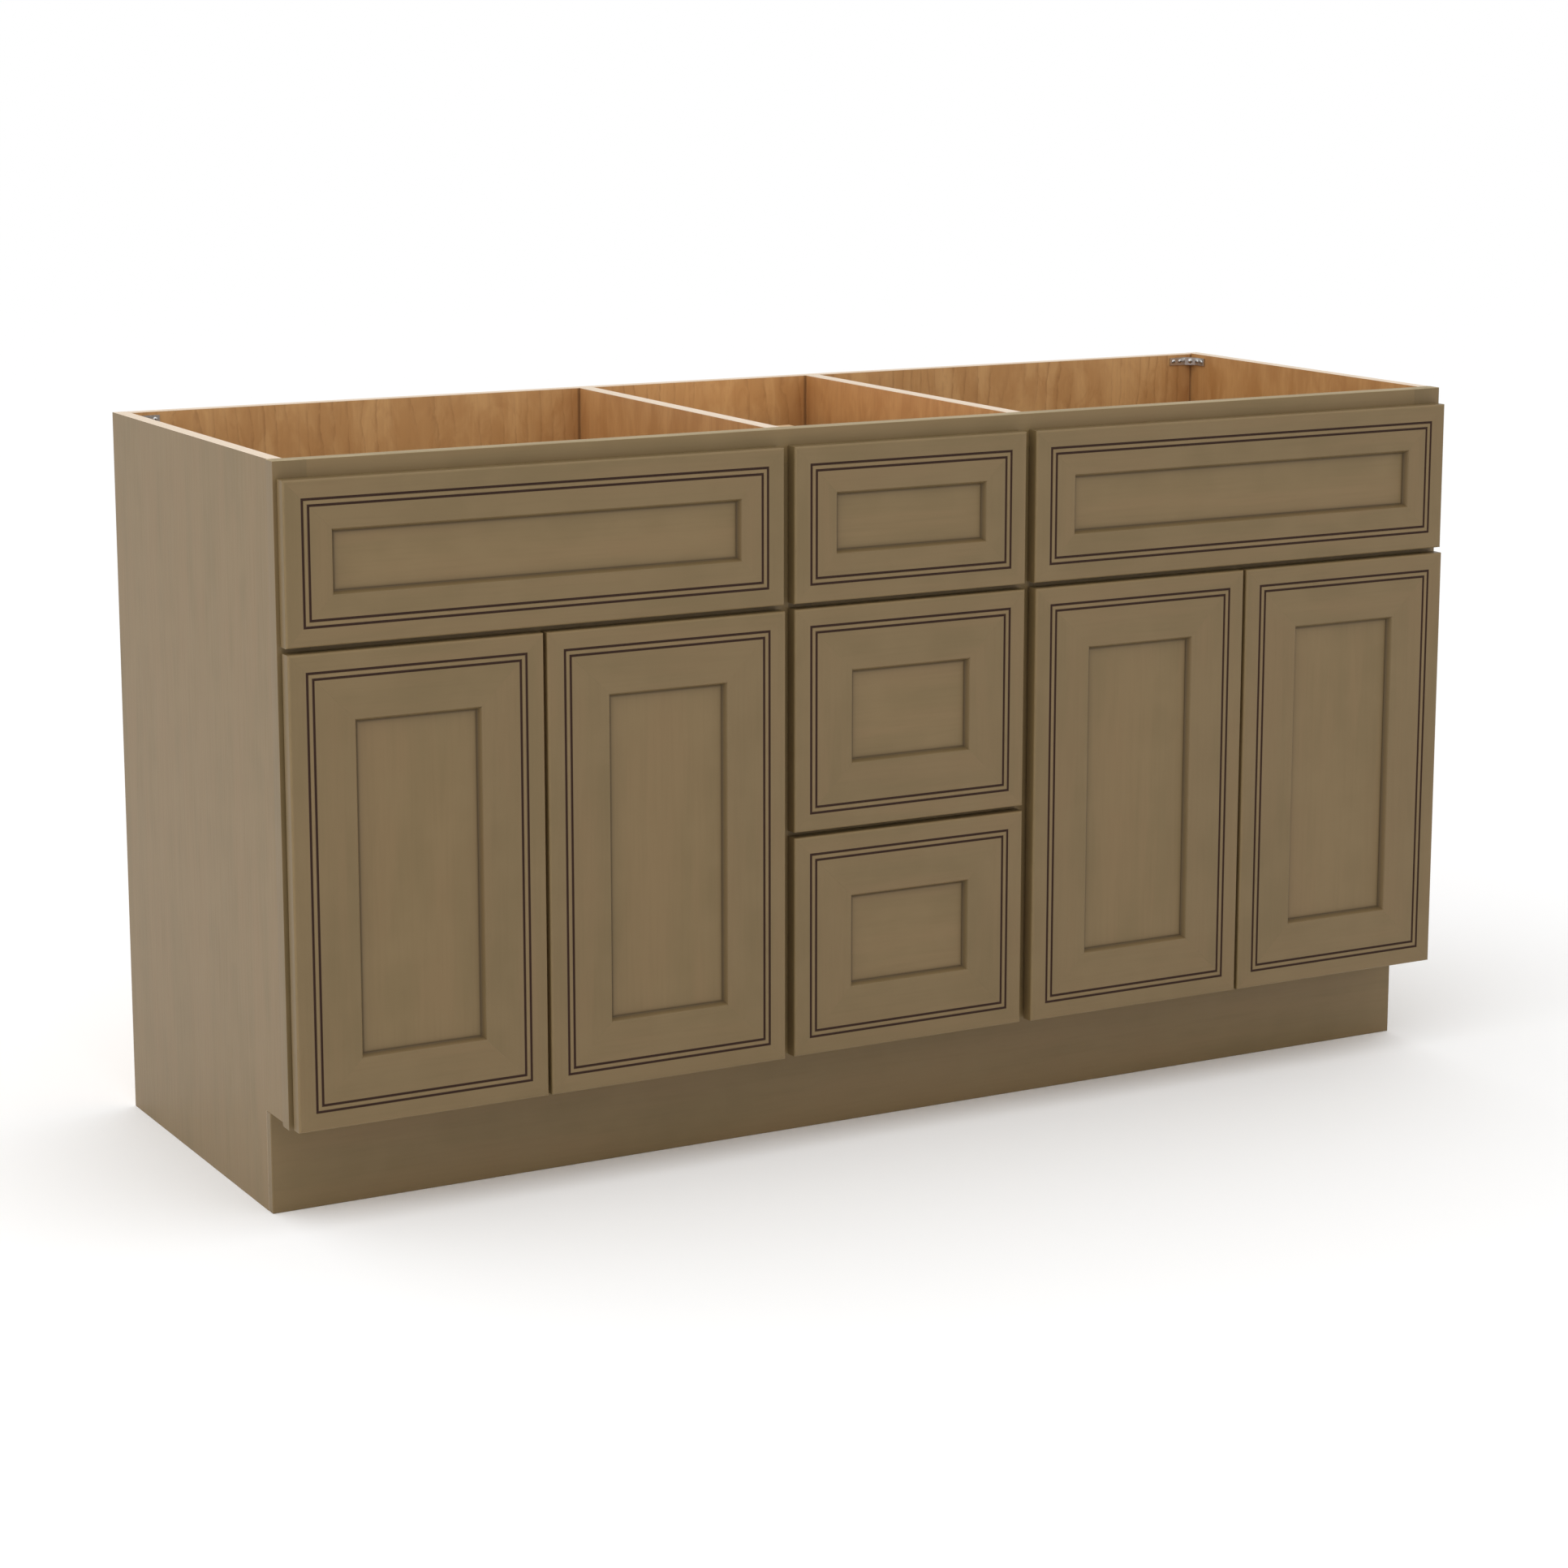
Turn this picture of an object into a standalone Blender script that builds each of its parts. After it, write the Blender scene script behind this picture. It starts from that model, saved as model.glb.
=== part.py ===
"""Bathroom vanity base cabinet: face-framed carcass for two sinks, with four doors,
two fixed false fronts and a centre bank of three drawers.

Metres, +Z up.  Pieces are drawn with the floor at z = 0, the face frame's front at
y = 0, the room on the -y side and x = 0 in the middle of the cabinet.  They all hang
on one empty, which puts the world's origin at the middle of the cabinet's footprint.
Run with: blender --background --python part.py
"""
from math import cos, pi, radians, sin

import bmesh
import bpy
from mathutils import Matrix, Vector

# ---- driving dimensions -----------------------------------------------------------
GAP = 0.0003              # air between pieces that touch
WIDTH = 1.524             # across the face frame
HEIGHT = 0.835            # floor to the top edge
DEPTH = 0.518             # face frame front to the back of the back panel

SIDE_T = 0.0165           # plywood side panels
BACK_T = 0.0125           # plywood back
DECK_T = 0.0165           # plywood bottom
PARTITION_T = 0.017       # plywood partitions beside the drawers
FRAME_T = 0.019           # solid wood face frame
FRAME_OVERHANG = 0.0016   # face frame beyond each side panel
EASE = 0.0008             # eased edges of boards
SMOOTH_LIMIT = radians(35)  # edges that turn more than this stay sharp

TOE_NOTCH_TOP = 0.115     # underside of the side panels above the toe space
TOE_SETBACK = 0.060       # face frame front to the toe board front
TOE_BOARD_T = 0.012

FRAME_BOTTOM = 0.1115     # underside of the face frame
FRAME_FOOT_ROUND = 0.0035  # rounded lower back edge of the outer stiles
STILE_W = 0.0381
MULLION_W = 0.0762
MULLION_X = 0.159         # centre line of each mullion and partition
RAIL_H = 0.0381

SIDE_REVEAL = 0.004       # face frame showing beside the outer fronts
TOP_REVEAL = 0.0190       # face frame showing above the fronts
ROW_GAP = 0.0063          # between fronts, one above the other
DOOR_GAP = 0.0039         # between the two doors of a pair
BAY_GAP = 0.0132          # between a drawer front and its neighbours
DRAWER_FRONT_W = 0.3048
FALSE_FRONT_H = 0.1773
DOOR_H = 0.5195

FRONT_T = 0.0175          # doors, drawer fronts and false fronts
BUMPER_GAP = 0.0033       # between a closed door and the face frame
WIDE_FIELD = 0.0735       # outer edge to the cove on doors and tall drawer fronts
NARROW_FIELD = 0.053      # the same on false fronts and the shallow drawer front
COVE_W = 0.0045
COVE_DEPTH = 0.007
EDGE_ROUND = 0.0028       # rounded outer edge of every front
BEAD_START = 0.0197       # outer edge to the first groove of the bead
GROOVE_W = 0.003
GROOVE_DEPTH = 0.0016
BEAD_W = 0.0038
PANEL_T = 0.006           # door panel, held in a groove
PANEL_TONGUE = 0.008      # how far the panel reaches into the groove

HINGE_FROM_END = 0.080    # hinge centre to the top or bottom of a door
AXIS_INSET = 0.003        # door edge to the hinge axis
CUP_INSET = 0.0225        # door edge to the middle of the hinge cup
CUP_R = 0.0175
CUP_WALL = 0.0012
CUP_DEPTH = 0.0118
CUP_FLANGE_T = 0.0007
CUP_FLANGE_W = 0.022
CUP_FLANGE_H = 0.056
HINGE_STEEL = 0.0012
ARM_W = 0.012
ARM_PLATE_H = 0.040
ARM_NOSE_U = 0.017        # door edge to the nose of the arm, inside the cup

DRAWER_T = 0.015          # drawer box sides
DRAWER_BACK_Y = 0.473     # back of the drawer boxes
DRAWER_BOTTOM_T = 0.006
DRAWER_BOTTOM_LIFT = 0.012
DRAWER_GROOVE = 0.006
SLIDE_GAP = 0.0127        # drawer box to face frame opening, filled by the slide
SLIDE_H = 0.035
SLIDE_STEEL = 0.0012
SLIDE_LIP = 0.0066
SLIDE_END_Y = 0.450
SLIDE_START_Y = 0.004
SLIDE_FOOT = 0.018        # foot against the back panel, bent away from the drawer
# underside and top of each drawer box, from the top drawer down
DRAWER_BOX_Z = ((0.667, 0.777), (0.404, 0.594), (0.162, 0.332))

BRACKET_BACK = 0.035      # legs of the rear corner brackets
BRACKET_SIDE = 0.031
BRACKET_H = 0.010
BRACKET_T = 0.0015
BRACKET_WEB = 0.011
BRACKET_Z = 0.8205        # underside of the bracket

# ---- places worked out from them --------------------------------------------------
HALF = WIDTH / 2
SIDE_OUT = HALF - FRAME_OVERHANG
SIDE_IN = SIDE_OUT - SIDE_T
INSIDE_FRONT = FRAME_T + GAP
INSIDE_BACK = DEPTH - BACK_T - GAP
DECK_Z = TOE_NOTCH_TOP
DECK_TOP = DECK_Z + DECK_T
FRONTS_TOP = HEIGHT - TOP_REVEAL
DOOR_TOP = FRONTS_TOP - FALSE_FRONT_H - ROW_GAP
DOOR_BOTTOM = DOOR_TOP - DOOR_H
TALL_DRAWER_H = (DOOR_H - ROW_GAP) / 2
BAY_OUT = HALF - SIDE_REVEAL                        # outer edge of the outer fronts
BAY_IN = DRAWER_FRONT_W / 2 + BAY_GAP               # inner edge of the inner doors
DOOR_W = (BAY_OUT - BAY_IN - DOOR_GAP) / 2
UPPER_RAIL_Z = DOOR_TOP + ROW_GAP / 2               # centre lines of the inner rails
LOWER_RAIL_Z = DOOR_TOP - TALL_DRAWER_H - ROW_GAP / 2
OPENING_HALF = MULLION_X - MULLION_W / 2            # half width of a drawer opening
MULLION_EDGE = MULLION_X + MULLION_W / 2 - BAY_IN   # inner door edge to mullion edge
OUTER_STILE_EDGE = STILE_W - SIDE_REVEAL            # outer door edge to stile edge
FIXED_FRONT_Y = -GAP - FRONT_T
DOOR_FRONT_Y = -BUMPER_GAP - FRONT_T
AXIS_Y = -BUMPER_GAP - FRONT_T / 2
FOOTPRINT_MIDDLE_Y = (DEPTH + DOOR_FRONT_Y) / 2
SIDES = (("left", -1), ("right", 1))


# ---- materials --------------------------------------------------------------------
def material(name, colour, roughness, metallic=0.0):
    """A Principled BSDF with one colour, roughness and metallic value."""
    mat = bpy.data.materials.new(name)
    mat.use_nodes = True
    shader = mat.node_tree.nodes["Principled BSDF"]
    shader.inputs["Base Color"].default_value = (*colour, 1.0)
    shader.inputs["Roughness"].default_value = roughness
    shader.inputs["Metallic"].default_value = metallic
    mat.diffuse_color = (*colour, 1.0)
    return mat


def make_materials():
    return {
        "stain": material("stained_maple", (0.205, 0.150, 0.080), 0.45),
        "ply": material("maple_plywood", (0.330, 0.165, 0.065), 0.40),
        "birch": material("birch_drawer", (0.610, 0.430, 0.240), 0.50),
        "steel": material("zinc_plated_steel", (0.620, 0.620, 0.600), 0.35, 1.0),
    }


# ---- building tools ---------------------------------------------------------------
def clear_scene():
    for obj in list(bpy.data.objects):
        bpy.data.objects.remove(obj, do_unlink=True)


def pivot(name, place):
    """An empty on a moving body's axis, for its pieces to hang on."""
    empty = bpy.data.objects.new(name, None)
    empty.location = place
    empty.empty_display_size = 0.03
    bpy.context.collection.objects.link(empty)
    return empty


def add_object(name, bm, mat, parent=None):
    """Turn a bmesh into an object, under its pivot if it has one, with curves shaded smooth."""
    bmesh.ops.remove_doubles(bm, verts=bm.verts, dist=1e-6)
    bmesh.ops.recalc_face_normals(bm, faces=bm.faces)
    if parent is not None:
        bmesh.ops.translate(bm, verts=bm.verts, vec=-parent.location)
    mesh = bpy.data.meshes.new(name)
    bm.to_mesh(mesh)
    bm.free()
    mesh.materials.append(mat)
    mesh.shade_smooth()
    mesh.set_sharp_from_angle(angle=SMOOTH_LIMIT)
    obj = bpy.data.objects.new(name, mesh)
    bpy.context.collection.objects.link(obj)
    obj.parent = parent
    return obj


def block(low, high, ease=EASE):
    """A bmesh of one board between two corners, with eased edges."""
    low, high = Vector(low), Vector(high)
    bm = bmesh.new()
    bmesh.ops.create_cube(bm, size=1.0)
    bmesh.ops.scale(bm, vec=high - low, verts=bm.verts)
    bmesh.ops.translate(bm, vec=(low + high) / 2, verts=bm.verts)
    if ease:
        bmesh.ops.bevel(bm, geom=bm.edges[:], offset=ease, segments=1, affect="EDGES")
    return bm


def board(name, low, high, mat, parent=None, ease=EASE):
    return add_object(name, block(low, high, ease), mat, parent)


def extrude_outline(points, travel):
    """A bmesh of a flat outline pushed along a vector."""
    bm = bmesh.new()
    face = bm.faces.new([bm.verts.new(p) for p in points])
    pushed = bmesh.ops.extrude_face_region(bm, geom=[face])["geom"]
    moved = [item for item in pushed if isinstance(item, bmesh.types.BMVert)]
    bmesh.ops.translate(bm, vec=travel, verts=moved)
    return bm


def add_ring(bm, half_x, half_y, level):
    """The four corners of a level rectangle about the origin."""
    corners = ((-half_x, -half_y), (half_x, -half_y), (half_x, half_y), (-half_x, half_y))
    return [bm.verts.new((x, y, level)) for x, y in corners]


def sweep_profile(half_x, half_y, profile, closed):
    """Carry a profile of (inset, level) points round a rectangle, mitred at the corners.

    A closed profile gives a hollow frame.  An open one is capped at both ends.
    """
    bm = bmesh.new()
    rings = [add_ring(bm, half_x - inset, half_y - inset, level) for inset, level in profile]
    pairs = list(zip(rings, rings[1:]))
    if closed:
        pairs.append((rings[-1], rings[0]))
    for first, second in pairs:
        for i in range(4):
            bm.faces.new((first[i - 1], first[i], second[i], second[i - 1]))
    if not closed:
        bm.faces.new(rings[0])
        bm.faces.new(rings[-1])
    return bm


def stand_up(bm, centre_x, front_y, centre_z):
    """Turn a front drawn flat, face up, so that it faces the room at its place."""
    place = Matrix.Translation((centre_x, front_y, centre_z))
    bmesh.ops.transform(bm, matrix=place @ Matrix.Rotation(radians(90), 4, "X"), verts=bm.verts)


def sheet(name, quads, thickness, mat, parent=None):
    """Sheet metal: quads that share edges, thickened about their middle."""
    bm = bmesh.new()
    for quad in quads:
        bm.faces.new([bm.verts.new(p) for p in quad])
    obj = add_object(name, bm, mat, parent)
    solid = obj.modifiers.new("thickness", "SOLIDIFY")
    solid.thickness = thickness
    solid.offset = 0.0
    solid.use_even_offset = True
    return obj


def cylinder(name, radius, centre, y_range, mat, parent=None):
    """A round plug along y."""
    bm = bmesh.new()
    length = y_range[1] - y_range[0]
    bmesh.ops.create_cone(bm, cap_ends=True, segments=32, radius1=radius, radius2=radius,
                          depth=length)
    turn = Matrix.Rotation(radians(90), 4, "X")
    place = Matrix.Translation((centre[0], (y_range[0] + y_range[1]) / 2, centre[1]))
    bmesh.ops.transform(bm, matrix=place @ turn, verts=bm.verts)
    return add_object(name, bm, mat, parent)


def cut(obj, tool, operation="DIFFERENCE"):
    """Join or cut with another object, which is then a hidden cutter."""
    boolean = obj.modifiers.new(tool.name, "BOOLEAN")
    boolean.operation = operation
    boolean.solver = "EXACT"
    boolean.object = tool
    tool.hide_render = True
    tool.display_type = "WIRE"


# ---- carcass ----------------------------------------------------------------------
def make_side_panels(mats):
    """Full-depth plywood sides, notched at the front for the toe space."""
    notch_y = TOE_SETBACK + TOE_BOARD_T + GAP
    outline = ((INSIDE_FRONT, TOE_NOTCH_TOP), (notch_y, TOE_NOTCH_TOP), (notch_y, 0.0),
               (DEPTH, 0.0), (DEPTH, HEIGHT), (INSIDE_FRONT, HEIGHT))
    for side, sign in SIDES:
        points = [(sign * SIDE_IN, y, z) for y, z in outline]
        bm = extrude_outline(points, (sign * SIDE_T, 0, 0))
        add_object(side + "_side_panel", bm, mats["stain"])


def make_back_and_bottom(mats):
    """Back between the sides, down to the floor; bottom panel above the toe space."""
    half = SIDE_IN - GAP
    board("back_panel", (-half, DEPTH - BACK_T, 0.0), (half, DEPTH, HEIGHT), mats["ply"])
    board("bottom_panel", (-half, INSIDE_FRONT, DECK_Z), (half, INSIDE_BACK, DECK_TOP),
          mats["ply"])


def make_partitions(mats):
    """Two uprights that close the drawer bank off from the sink bays."""
    for side, sign in SIDES:
        centre = sign * MULLION_X
        board(side + "_partition",
              (centre - PARTITION_T / 2, INSIDE_FRONT, DECK_TOP + GAP),
              (centre + PARTITION_T / 2, INSIDE_BACK, HEIGHT), mats["ply"])


def make_toe_board(mats):
    """Board across the toe space, in front of the notched sides."""
    board("toe_kick_board", (-SIDE_OUT, TOE_SETBACK, 0.0),
          (SIDE_OUT, TOE_SETBACK + TOE_BOARD_T, DECK_Z - GAP), mats["stain"])


def make_corner_brackets(mats):
    """Small bent plates that hold the back square to the sides, near the top."""
    for side, sign in SIDES:
        corner_x = SIDE_IN - 2 * GAP
        corner_y = INSIDE_BACK
        legs = ((0, 0), (BRACKET_BACK, 0), (BRACKET_BACK, BRACKET_T),
                (BRACKET_T + BRACKET_WEB, BRACKET_T), (BRACKET_T, BRACKET_T + BRACKET_WEB),
                (BRACKET_T, BRACKET_SIDE), (0, BRACKET_SIDE))
        points = [(sign * (corner_x - along), corner_y - out, BRACKET_Z)
                  for along, out in legs]
        bm = extrude_outline(points, (0, 0, BRACKET_H))
        add_object("rear_" + side + "_corner_bracket", bm, mats["steel"])


# ---- face frame -------------------------------------------------------------------
def frame_member(name, x_range, z_range, mats):
    board(name, (x_range[0], 0.0, z_range[0]), (x_range[1], FRAME_T, z_range[1]), mats["stain"])


def make_stiles(mats):
    """Outer uprights; the lower back edge is rounded over the toe space."""
    steps = 4
    foot = []
    for step in range(steps + 1):
        angle = pi / 2 * step / steps
        foot.append((FRAME_T - FRAME_FOOT_ROUND * (1 - sin(angle)),
                     FRAME_BOTTOM + FRAME_FOOT_ROUND * (1 - cos(angle))))
    outline = [(0.0, HEIGHT), (0.0, FRAME_BOTTOM)] + foot + [(FRAME_T, HEIGHT)]
    for side, sign in SIDES:
        points = [(sign * HALF, y, z) for y, z in outline]
        bm = extrude_outline(points, (-sign * STILE_W, 0, 0))
        add_object(side + "_frame_stile", bm, mats["stain"])


def make_frame_rails(mats):
    """Top and bottom rails, the two mullions, and the rails between openings."""
    inner = HALF - STILE_W - GAP
    rail_foot = FRAME_BOTTOM + RAIL_H
    frame_member("top_rail", (-inner, inner), (HEIGHT - RAIL_H, HEIGHT), mats)
    frame_member("bottom_rail", (-inner, inner), (FRAME_BOTTOM, rail_foot), mats)
    half_h = RAIL_H / 2
    for side, sign in SIDES:
        mullion_x = sign * MULLION_X
        frame_member(side + "_mullion", (mullion_x - MULLION_W / 2, mullion_x + MULLION_W / 2),
                     (rail_foot + GAP, HEIGHT - RAIL_H - GAP), mats)
        ends = sorted((sign * inner, mullion_x + sign * (MULLION_W / 2 + GAP)))
        frame_member(side + "_sink_rail", ends,
                     (UPPER_RAIL_Z - half_h, UPPER_RAIL_Z + half_h), mats)
    half_x = OPENING_HALF - GAP
    for name, z in (("upper_drawer_rail", UPPER_RAIL_Z), ("lower_drawer_rail", LOWER_RAIL_Z)):
        frame_member(name, (-half_x, half_x), (z - half_h, z + half_h), mats)


# ---- fronts -----------------------------------------------------------------------
def front_face_profile(field):
    """(inset, level) points from the outer edge to the foot of the cove, level 0 in front."""
    points = []
    steps = 3
    for step in range(steps + 1):
        angle = pi / 2 * step / steps
        points.append((EDGE_ROUND * (1 - sin(angle)), -EDGE_ROUND * (1 - cos(angle))))
    points.reverse()
    for start in (BEAD_START, BEAD_START + GROOVE_W + BEAD_W):
        wall = GROOVE_W / 5
        points += [(start, 0.0), (start + wall, -GROOVE_DEPTH),
                   (start + GROOVE_W - wall, -GROOVE_DEPTH), (start + GROOVE_W, 0.0)]
    steps = 4
    for step in range(steps + 1):
        angle = pi / 2 * step / steps
        points.append((field + COVE_W * (1 - cos(angle)), -COVE_DEPTH * sin(angle)))
    return points


def solid_front(name, x_range, z_range, field, mats, parent=None):
    """A front made as one piece, its middle sunk below the moulded border."""
    half_x = (x_range[1] - x_range[0]) / 2
    half_z = (z_range[1] - z_range[0]) / 2
    profile = [(0.0, -FRONT_T)] + front_face_profile(field)
    bm = sweep_profile(half_x, half_z, profile, closed=False)
    stand_up(bm, sum(x_range) / 2, FIXED_FRONT_Y, sum(z_range) / 2)
    return add_object(name, bm, mats["stain"], parent)


def door_frame(name, x_range, z_range, mats, parent):
    """Mitred door frame, moulded in front and grooved inside for the panel."""
    lip = WIDE_FIELD + COVE_W
    groove_front = -COVE_DEPTH
    groove_back = -COVE_DEPTH - PANEL_T - 2 * GAP
    profile = front_face_profile(WIDE_FIELD)
    profile += [(lip - PANEL_TONGUE - GAP, groove_front), (lip - PANEL_TONGUE - GAP, groove_back),
                (lip, groove_back), (lip, -FRONT_T), (EASE, -FRONT_T), (0.0, -FRONT_T + EASE)]
    half_x = (x_range[1] - x_range[0]) / 2
    half_z = (z_range[1] - z_range[0]) / 2
    bm = sweep_profile(half_x, half_z, profile, closed=True)
    stand_up(bm, sum(x_range) / 2, DOOR_FRONT_Y, sum(z_range) / 2)
    return add_object(name, bm, mats["stain"], parent)


def door_panel(name, x_range, z_range, mats, parent):
    """Flat panel whose edges sit in the frame's groove."""
    edge = WIDE_FIELD + COVE_W - PANEL_TONGUE
    front = DOOR_FRONT_Y + COVE_DEPTH + GAP
    return board(name, (x_range[0] + edge, front, z_range[0] + edge),
                 (x_range[1] - edge, front + PANEL_T, z_range[1] - edge),
                 mats["stain"], parent, ease=0.0)


def make_false_fronts(mats):
    """Fixed fronts across the sink bays."""
    for side, sign in SIDES:
        x_range = sorted((sign * BAY_IN, sign * BAY_OUT))
        solid_front(side + "_false_front", x_range, (FRONTS_TOP - FALSE_FRONT_H, FRONTS_TOP),
                    NARROW_FIELD, mats)


# ---- hinges -----------------------------------------------------------------------
def hinge_cup(name, edge_x, inward, z, mats, parent):
    """Steel cup let into the back of a door, with its screw flange."""
    back = -BUMPER_GAP
    rim = back + GAP + CUP_FLANGE_T
    x = edge_x + inward * CUP_INSET
    flange = board(name, (x - CUP_FLANGE_W / 2, back + GAP, z - CUP_FLANGE_H / 2),
                   (x + CUP_FLANGE_W / 2, rim, z + CUP_FLANGE_H / 2),
                   mats["steel"], parent, ease=0.0)
    bowl = cylinder(name + "_bowl", CUP_R, (x, z), (back - CUP_DEPTH, rim), mats["steel"], parent)
    hollow = cylinder(name + "_hollow", CUP_R - CUP_WALL, (x, z),
                      (back - CUP_DEPTH + CUP_WALL, rim + EASE), mats["steel"], parent)
    cut(flange, bowl, "UNION")
    cut(flange, hollow)
    return flange


def cup_bore(name, edge_x, inward, z, mats, parent):
    """Cutter for the bore that takes a hinge cup."""
    back = -BUMPER_GAP
    return cylinder(name, CUP_R + GAP, (edge_x + inward * CUP_INSET, z),
                    (back - CUP_DEPTH - GAP, back + EASE), mats["steel"], parent)


def hinge_arm(name, edge_x, inward, frame_edge, z, mats):
    """Bent arm: a plate on the frame's edge, a bridge in front of it and a nose in the cup."""
    half = HINGE_STEEL / 2
    plate_u = frame_edge + GAP + half
    bridge_y = -BUMPER_GAP / 2 + GAP
    nose_y = bridge_y - 0.007
    plate_back_y = FRAME_T - 0.002
    plate_front_y = 0.001

    def at(u, y, height):
        return (edge_x + inward * u, y, z + height)

    tall, low = ARM_PLATE_H / 2, ARM_W / 2
    bands = ((-tall, -low), (-low, low), (low, tall))
    quads = [[at(plate_u, plate_back_y, a), at(plate_u, plate_front_y, a),
              at(plate_u, plate_front_y, b), at(plate_u, plate_back_y, b)] for a, b in bands]
    path = ((plate_u, plate_front_y), (plate_u, bridge_y), (ARM_NOSE_U, bridge_y),
            (ARM_NOSE_U, nose_y))
    for (u0, y0), (u1, y1) in zip(path, path[1:]):
        quads.append([at(u0, y0, -low), at(u1, y1, -low), at(u1, y1, low), at(u0, y0, low)])
    return sheet(name, quads, HINGE_STEEL, mats["steel"])


# ---- doors ------------------------------------------------------------------------
def make_door(name, edge_x, inward, frame_edge, mats):
    """A door and its two hinges; edge_x is its hinge edge and inward points across it."""
    z_range = (DOOR_BOTTOM, DOOR_TOP)
    x_range = sorted((edge_x, edge_x + inward * DOOR_W))
    axis = pivot(name + "_pivot", (edge_x + inward * AXIS_INSET, AXIS_Y, DOOR_BOTTOM))
    frame = door_frame(name + "_frame", x_range, z_range, mats, axis)
    door_panel(name + "_panel", x_range, z_range, mats, axis)
    places = (("upper", DOOR_TOP - HINGE_FROM_END), ("lower", DOOR_BOTTOM + HINGE_FROM_END))
    for level, z in places:
        hinge = name + "_" + level + "_hinge"
        hinge_cup(hinge + "_cup", edge_x, inward, z, mats, axis)
        cut(frame, cup_bore(hinge + "_bore", edge_x, inward, z, mats, axis))
        hinge_arm(hinge + "_arm", edge_x, inward, frame_edge, z, mats)


def make_doors(mats):
    """Two pairs; the outer doors hinge on the stiles and the inner doors on the mullions."""
    for side, sign in SIDES:
        make_door(side + "_outer_door", sign * BAY_OUT, -sign, OUTER_STILE_EDGE, mats)
        make_door(side + "_inner_door", sign * BAY_IN, sign, MULLION_EDGE, mats)


# ---- drawers ----------------------------------------------------------------------
def drawer_box(name, z_range, mats, parent):
    """Four walls of a drawer, grooved inside for the bottom."""
    half_x = OPENING_HALF - SLIDE_GAP
    half_y = DRAWER_BACK_Y / 2
    height = z_range[1] - z_range[0]
    groove_low = DRAWER_BOTTOM_LIFT - GAP
    groove_high = DRAWER_BOTTOM_LIFT + DRAWER_BOTTOM_T + GAP
    groove_in = DRAWER_T - DRAWER_GROOVE - GAP
    profile = ((EASE, 0.0), (0.0, EASE), (0.0, height - EASE), (EASE, height),
               (DRAWER_T - EASE, height), (DRAWER_T, height - EASE), (DRAWER_T, groove_high),
               (groove_in, groove_high), (groove_in, groove_low), (DRAWER_T, groove_low),
               (DRAWER_T, 0.0))
    bm = sweep_profile(half_x, half_y, profile, closed=True)
    bmesh.ops.translate(bm, vec=(0, half_y, z_range[0]), verts=bm.verts)
    return add_object(name, bm, mats["birch"], parent)


def drawer_bottom(name, z_low, mats, parent):
    inset = DRAWER_T - DRAWER_GROOVE
    half_x = OPENING_HALF - SLIDE_GAP - inset
    z = z_low + DRAWER_BOTTOM_LIFT
    return board(name, (-half_x, inset, z), (half_x, DRAWER_BACK_Y - inset, z + DRAWER_BOTTOM_T),
                 mats["birch"], parent, ease=0.0)


def make_drawers(mats):
    """Shallow drawer over two tall ones, with a moulded front on each box."""
    tops = (FRONTS_TOP, DOOR_TOP, DOOR_TOP - TALL_DRAWER_H - ROW_GAP)
    heights = (FALSE_FRONT_H, TALL_DRAWER_H, TALL_DRAWER_H)
    fields = (NARROW_FIELD, WIDE_FIELD, WIDE_FIELD)
    half_x = DRAWER_FRONT_W / 2
    for level, top, height, field, box in zip(("top", "middle", "bottom"), tops, heights,
                                              fields, DRAWER_BOX_Z):
        name = level + "_drawer"
        start = pivot(name + "_travel", (0.0, 0.0, box[0]))
        solid_front(name + "_front", (-half_x, half_x), (top - height, top), field, mats, start)
        drawer_box(name + "_box", box, mats, start)
        drawer_bottom(name + "_bottom", box[0], mats, start)


def make_drawer_slides(mats):
    """Fixed channel of each slide, from the face frame to a foot on the back panel."""
    half = SLIDE_STEEL / 2
    web_x = OPENING_HALF - GAP - half
    lip_x = web_x - SLIDE_LIP
    foot_x = web_x + SLIDE_FOOT
    foot_y = INSIDE_BACK - half - GAP
    for level, box in zip(("top", "middle", "bottom"), DRAWER_BOX_Z):
        low = box[0] + 0.004
        high = low + SLIDE_H
        for side, sign in SIDES:
            channel = ((lip_x, low), (web_x, low), (web_x, high), (lip_x, high))
            quads = []
            for (x0, z0), (x1, z1) in zip(channel, channel[1:]):
                quads.append([(sign * x0, SLIDE_START_Y, z0), (sign * x1, SLIDE_START_Y, z1),
                              (sign * x1, SLIDE_END_Y, z1), (sign * x0, SLIDE_END_Y, z0)])
            plan = ((web_x, SLIDE_END_Y), (web_x, foot_y), (foot_x, foot_y))
            for (x0, y0), (x1, y1) in zip(plan, plan[1:]):
                quads.append([(sign * x0, y0, low), (sign * x1, y1, low),
                              (sign * x1, y1, high), (sign * x0, y0, high)])
            sheet(level + "_drawer_" + side + "_slide", quads, SLIDE_STEEL, mats["steel"])


def hang_on_footprint():
    """Put every loose piece and pivot on one empty at the middle of the footprint."""
    loose = [obj for obj in bpy.data.objects if obj.parent is None]
    base = pivot("vanity_cabinet", (0.0, -FOOTPRINT_MIDDLE_Y, 0.0))
    for obj in loose:
        obj.parent = base


def main():
    clear_scene()
    mats = make_materials()
    make_side_panels(mats)
    make_back_and_bottom(mats)
    make_partitions(mats)
    make_toe_board(mats)
    make_corner_brackets(mats)
    make_stiles(mats)
    make_frame_rails(mats)
    make_false_fronts(mats)
    make_doors(mats)
    make_drawers(mats)
    make_drawer_slides(mats)
    hang_on_footprint()


main()
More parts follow.
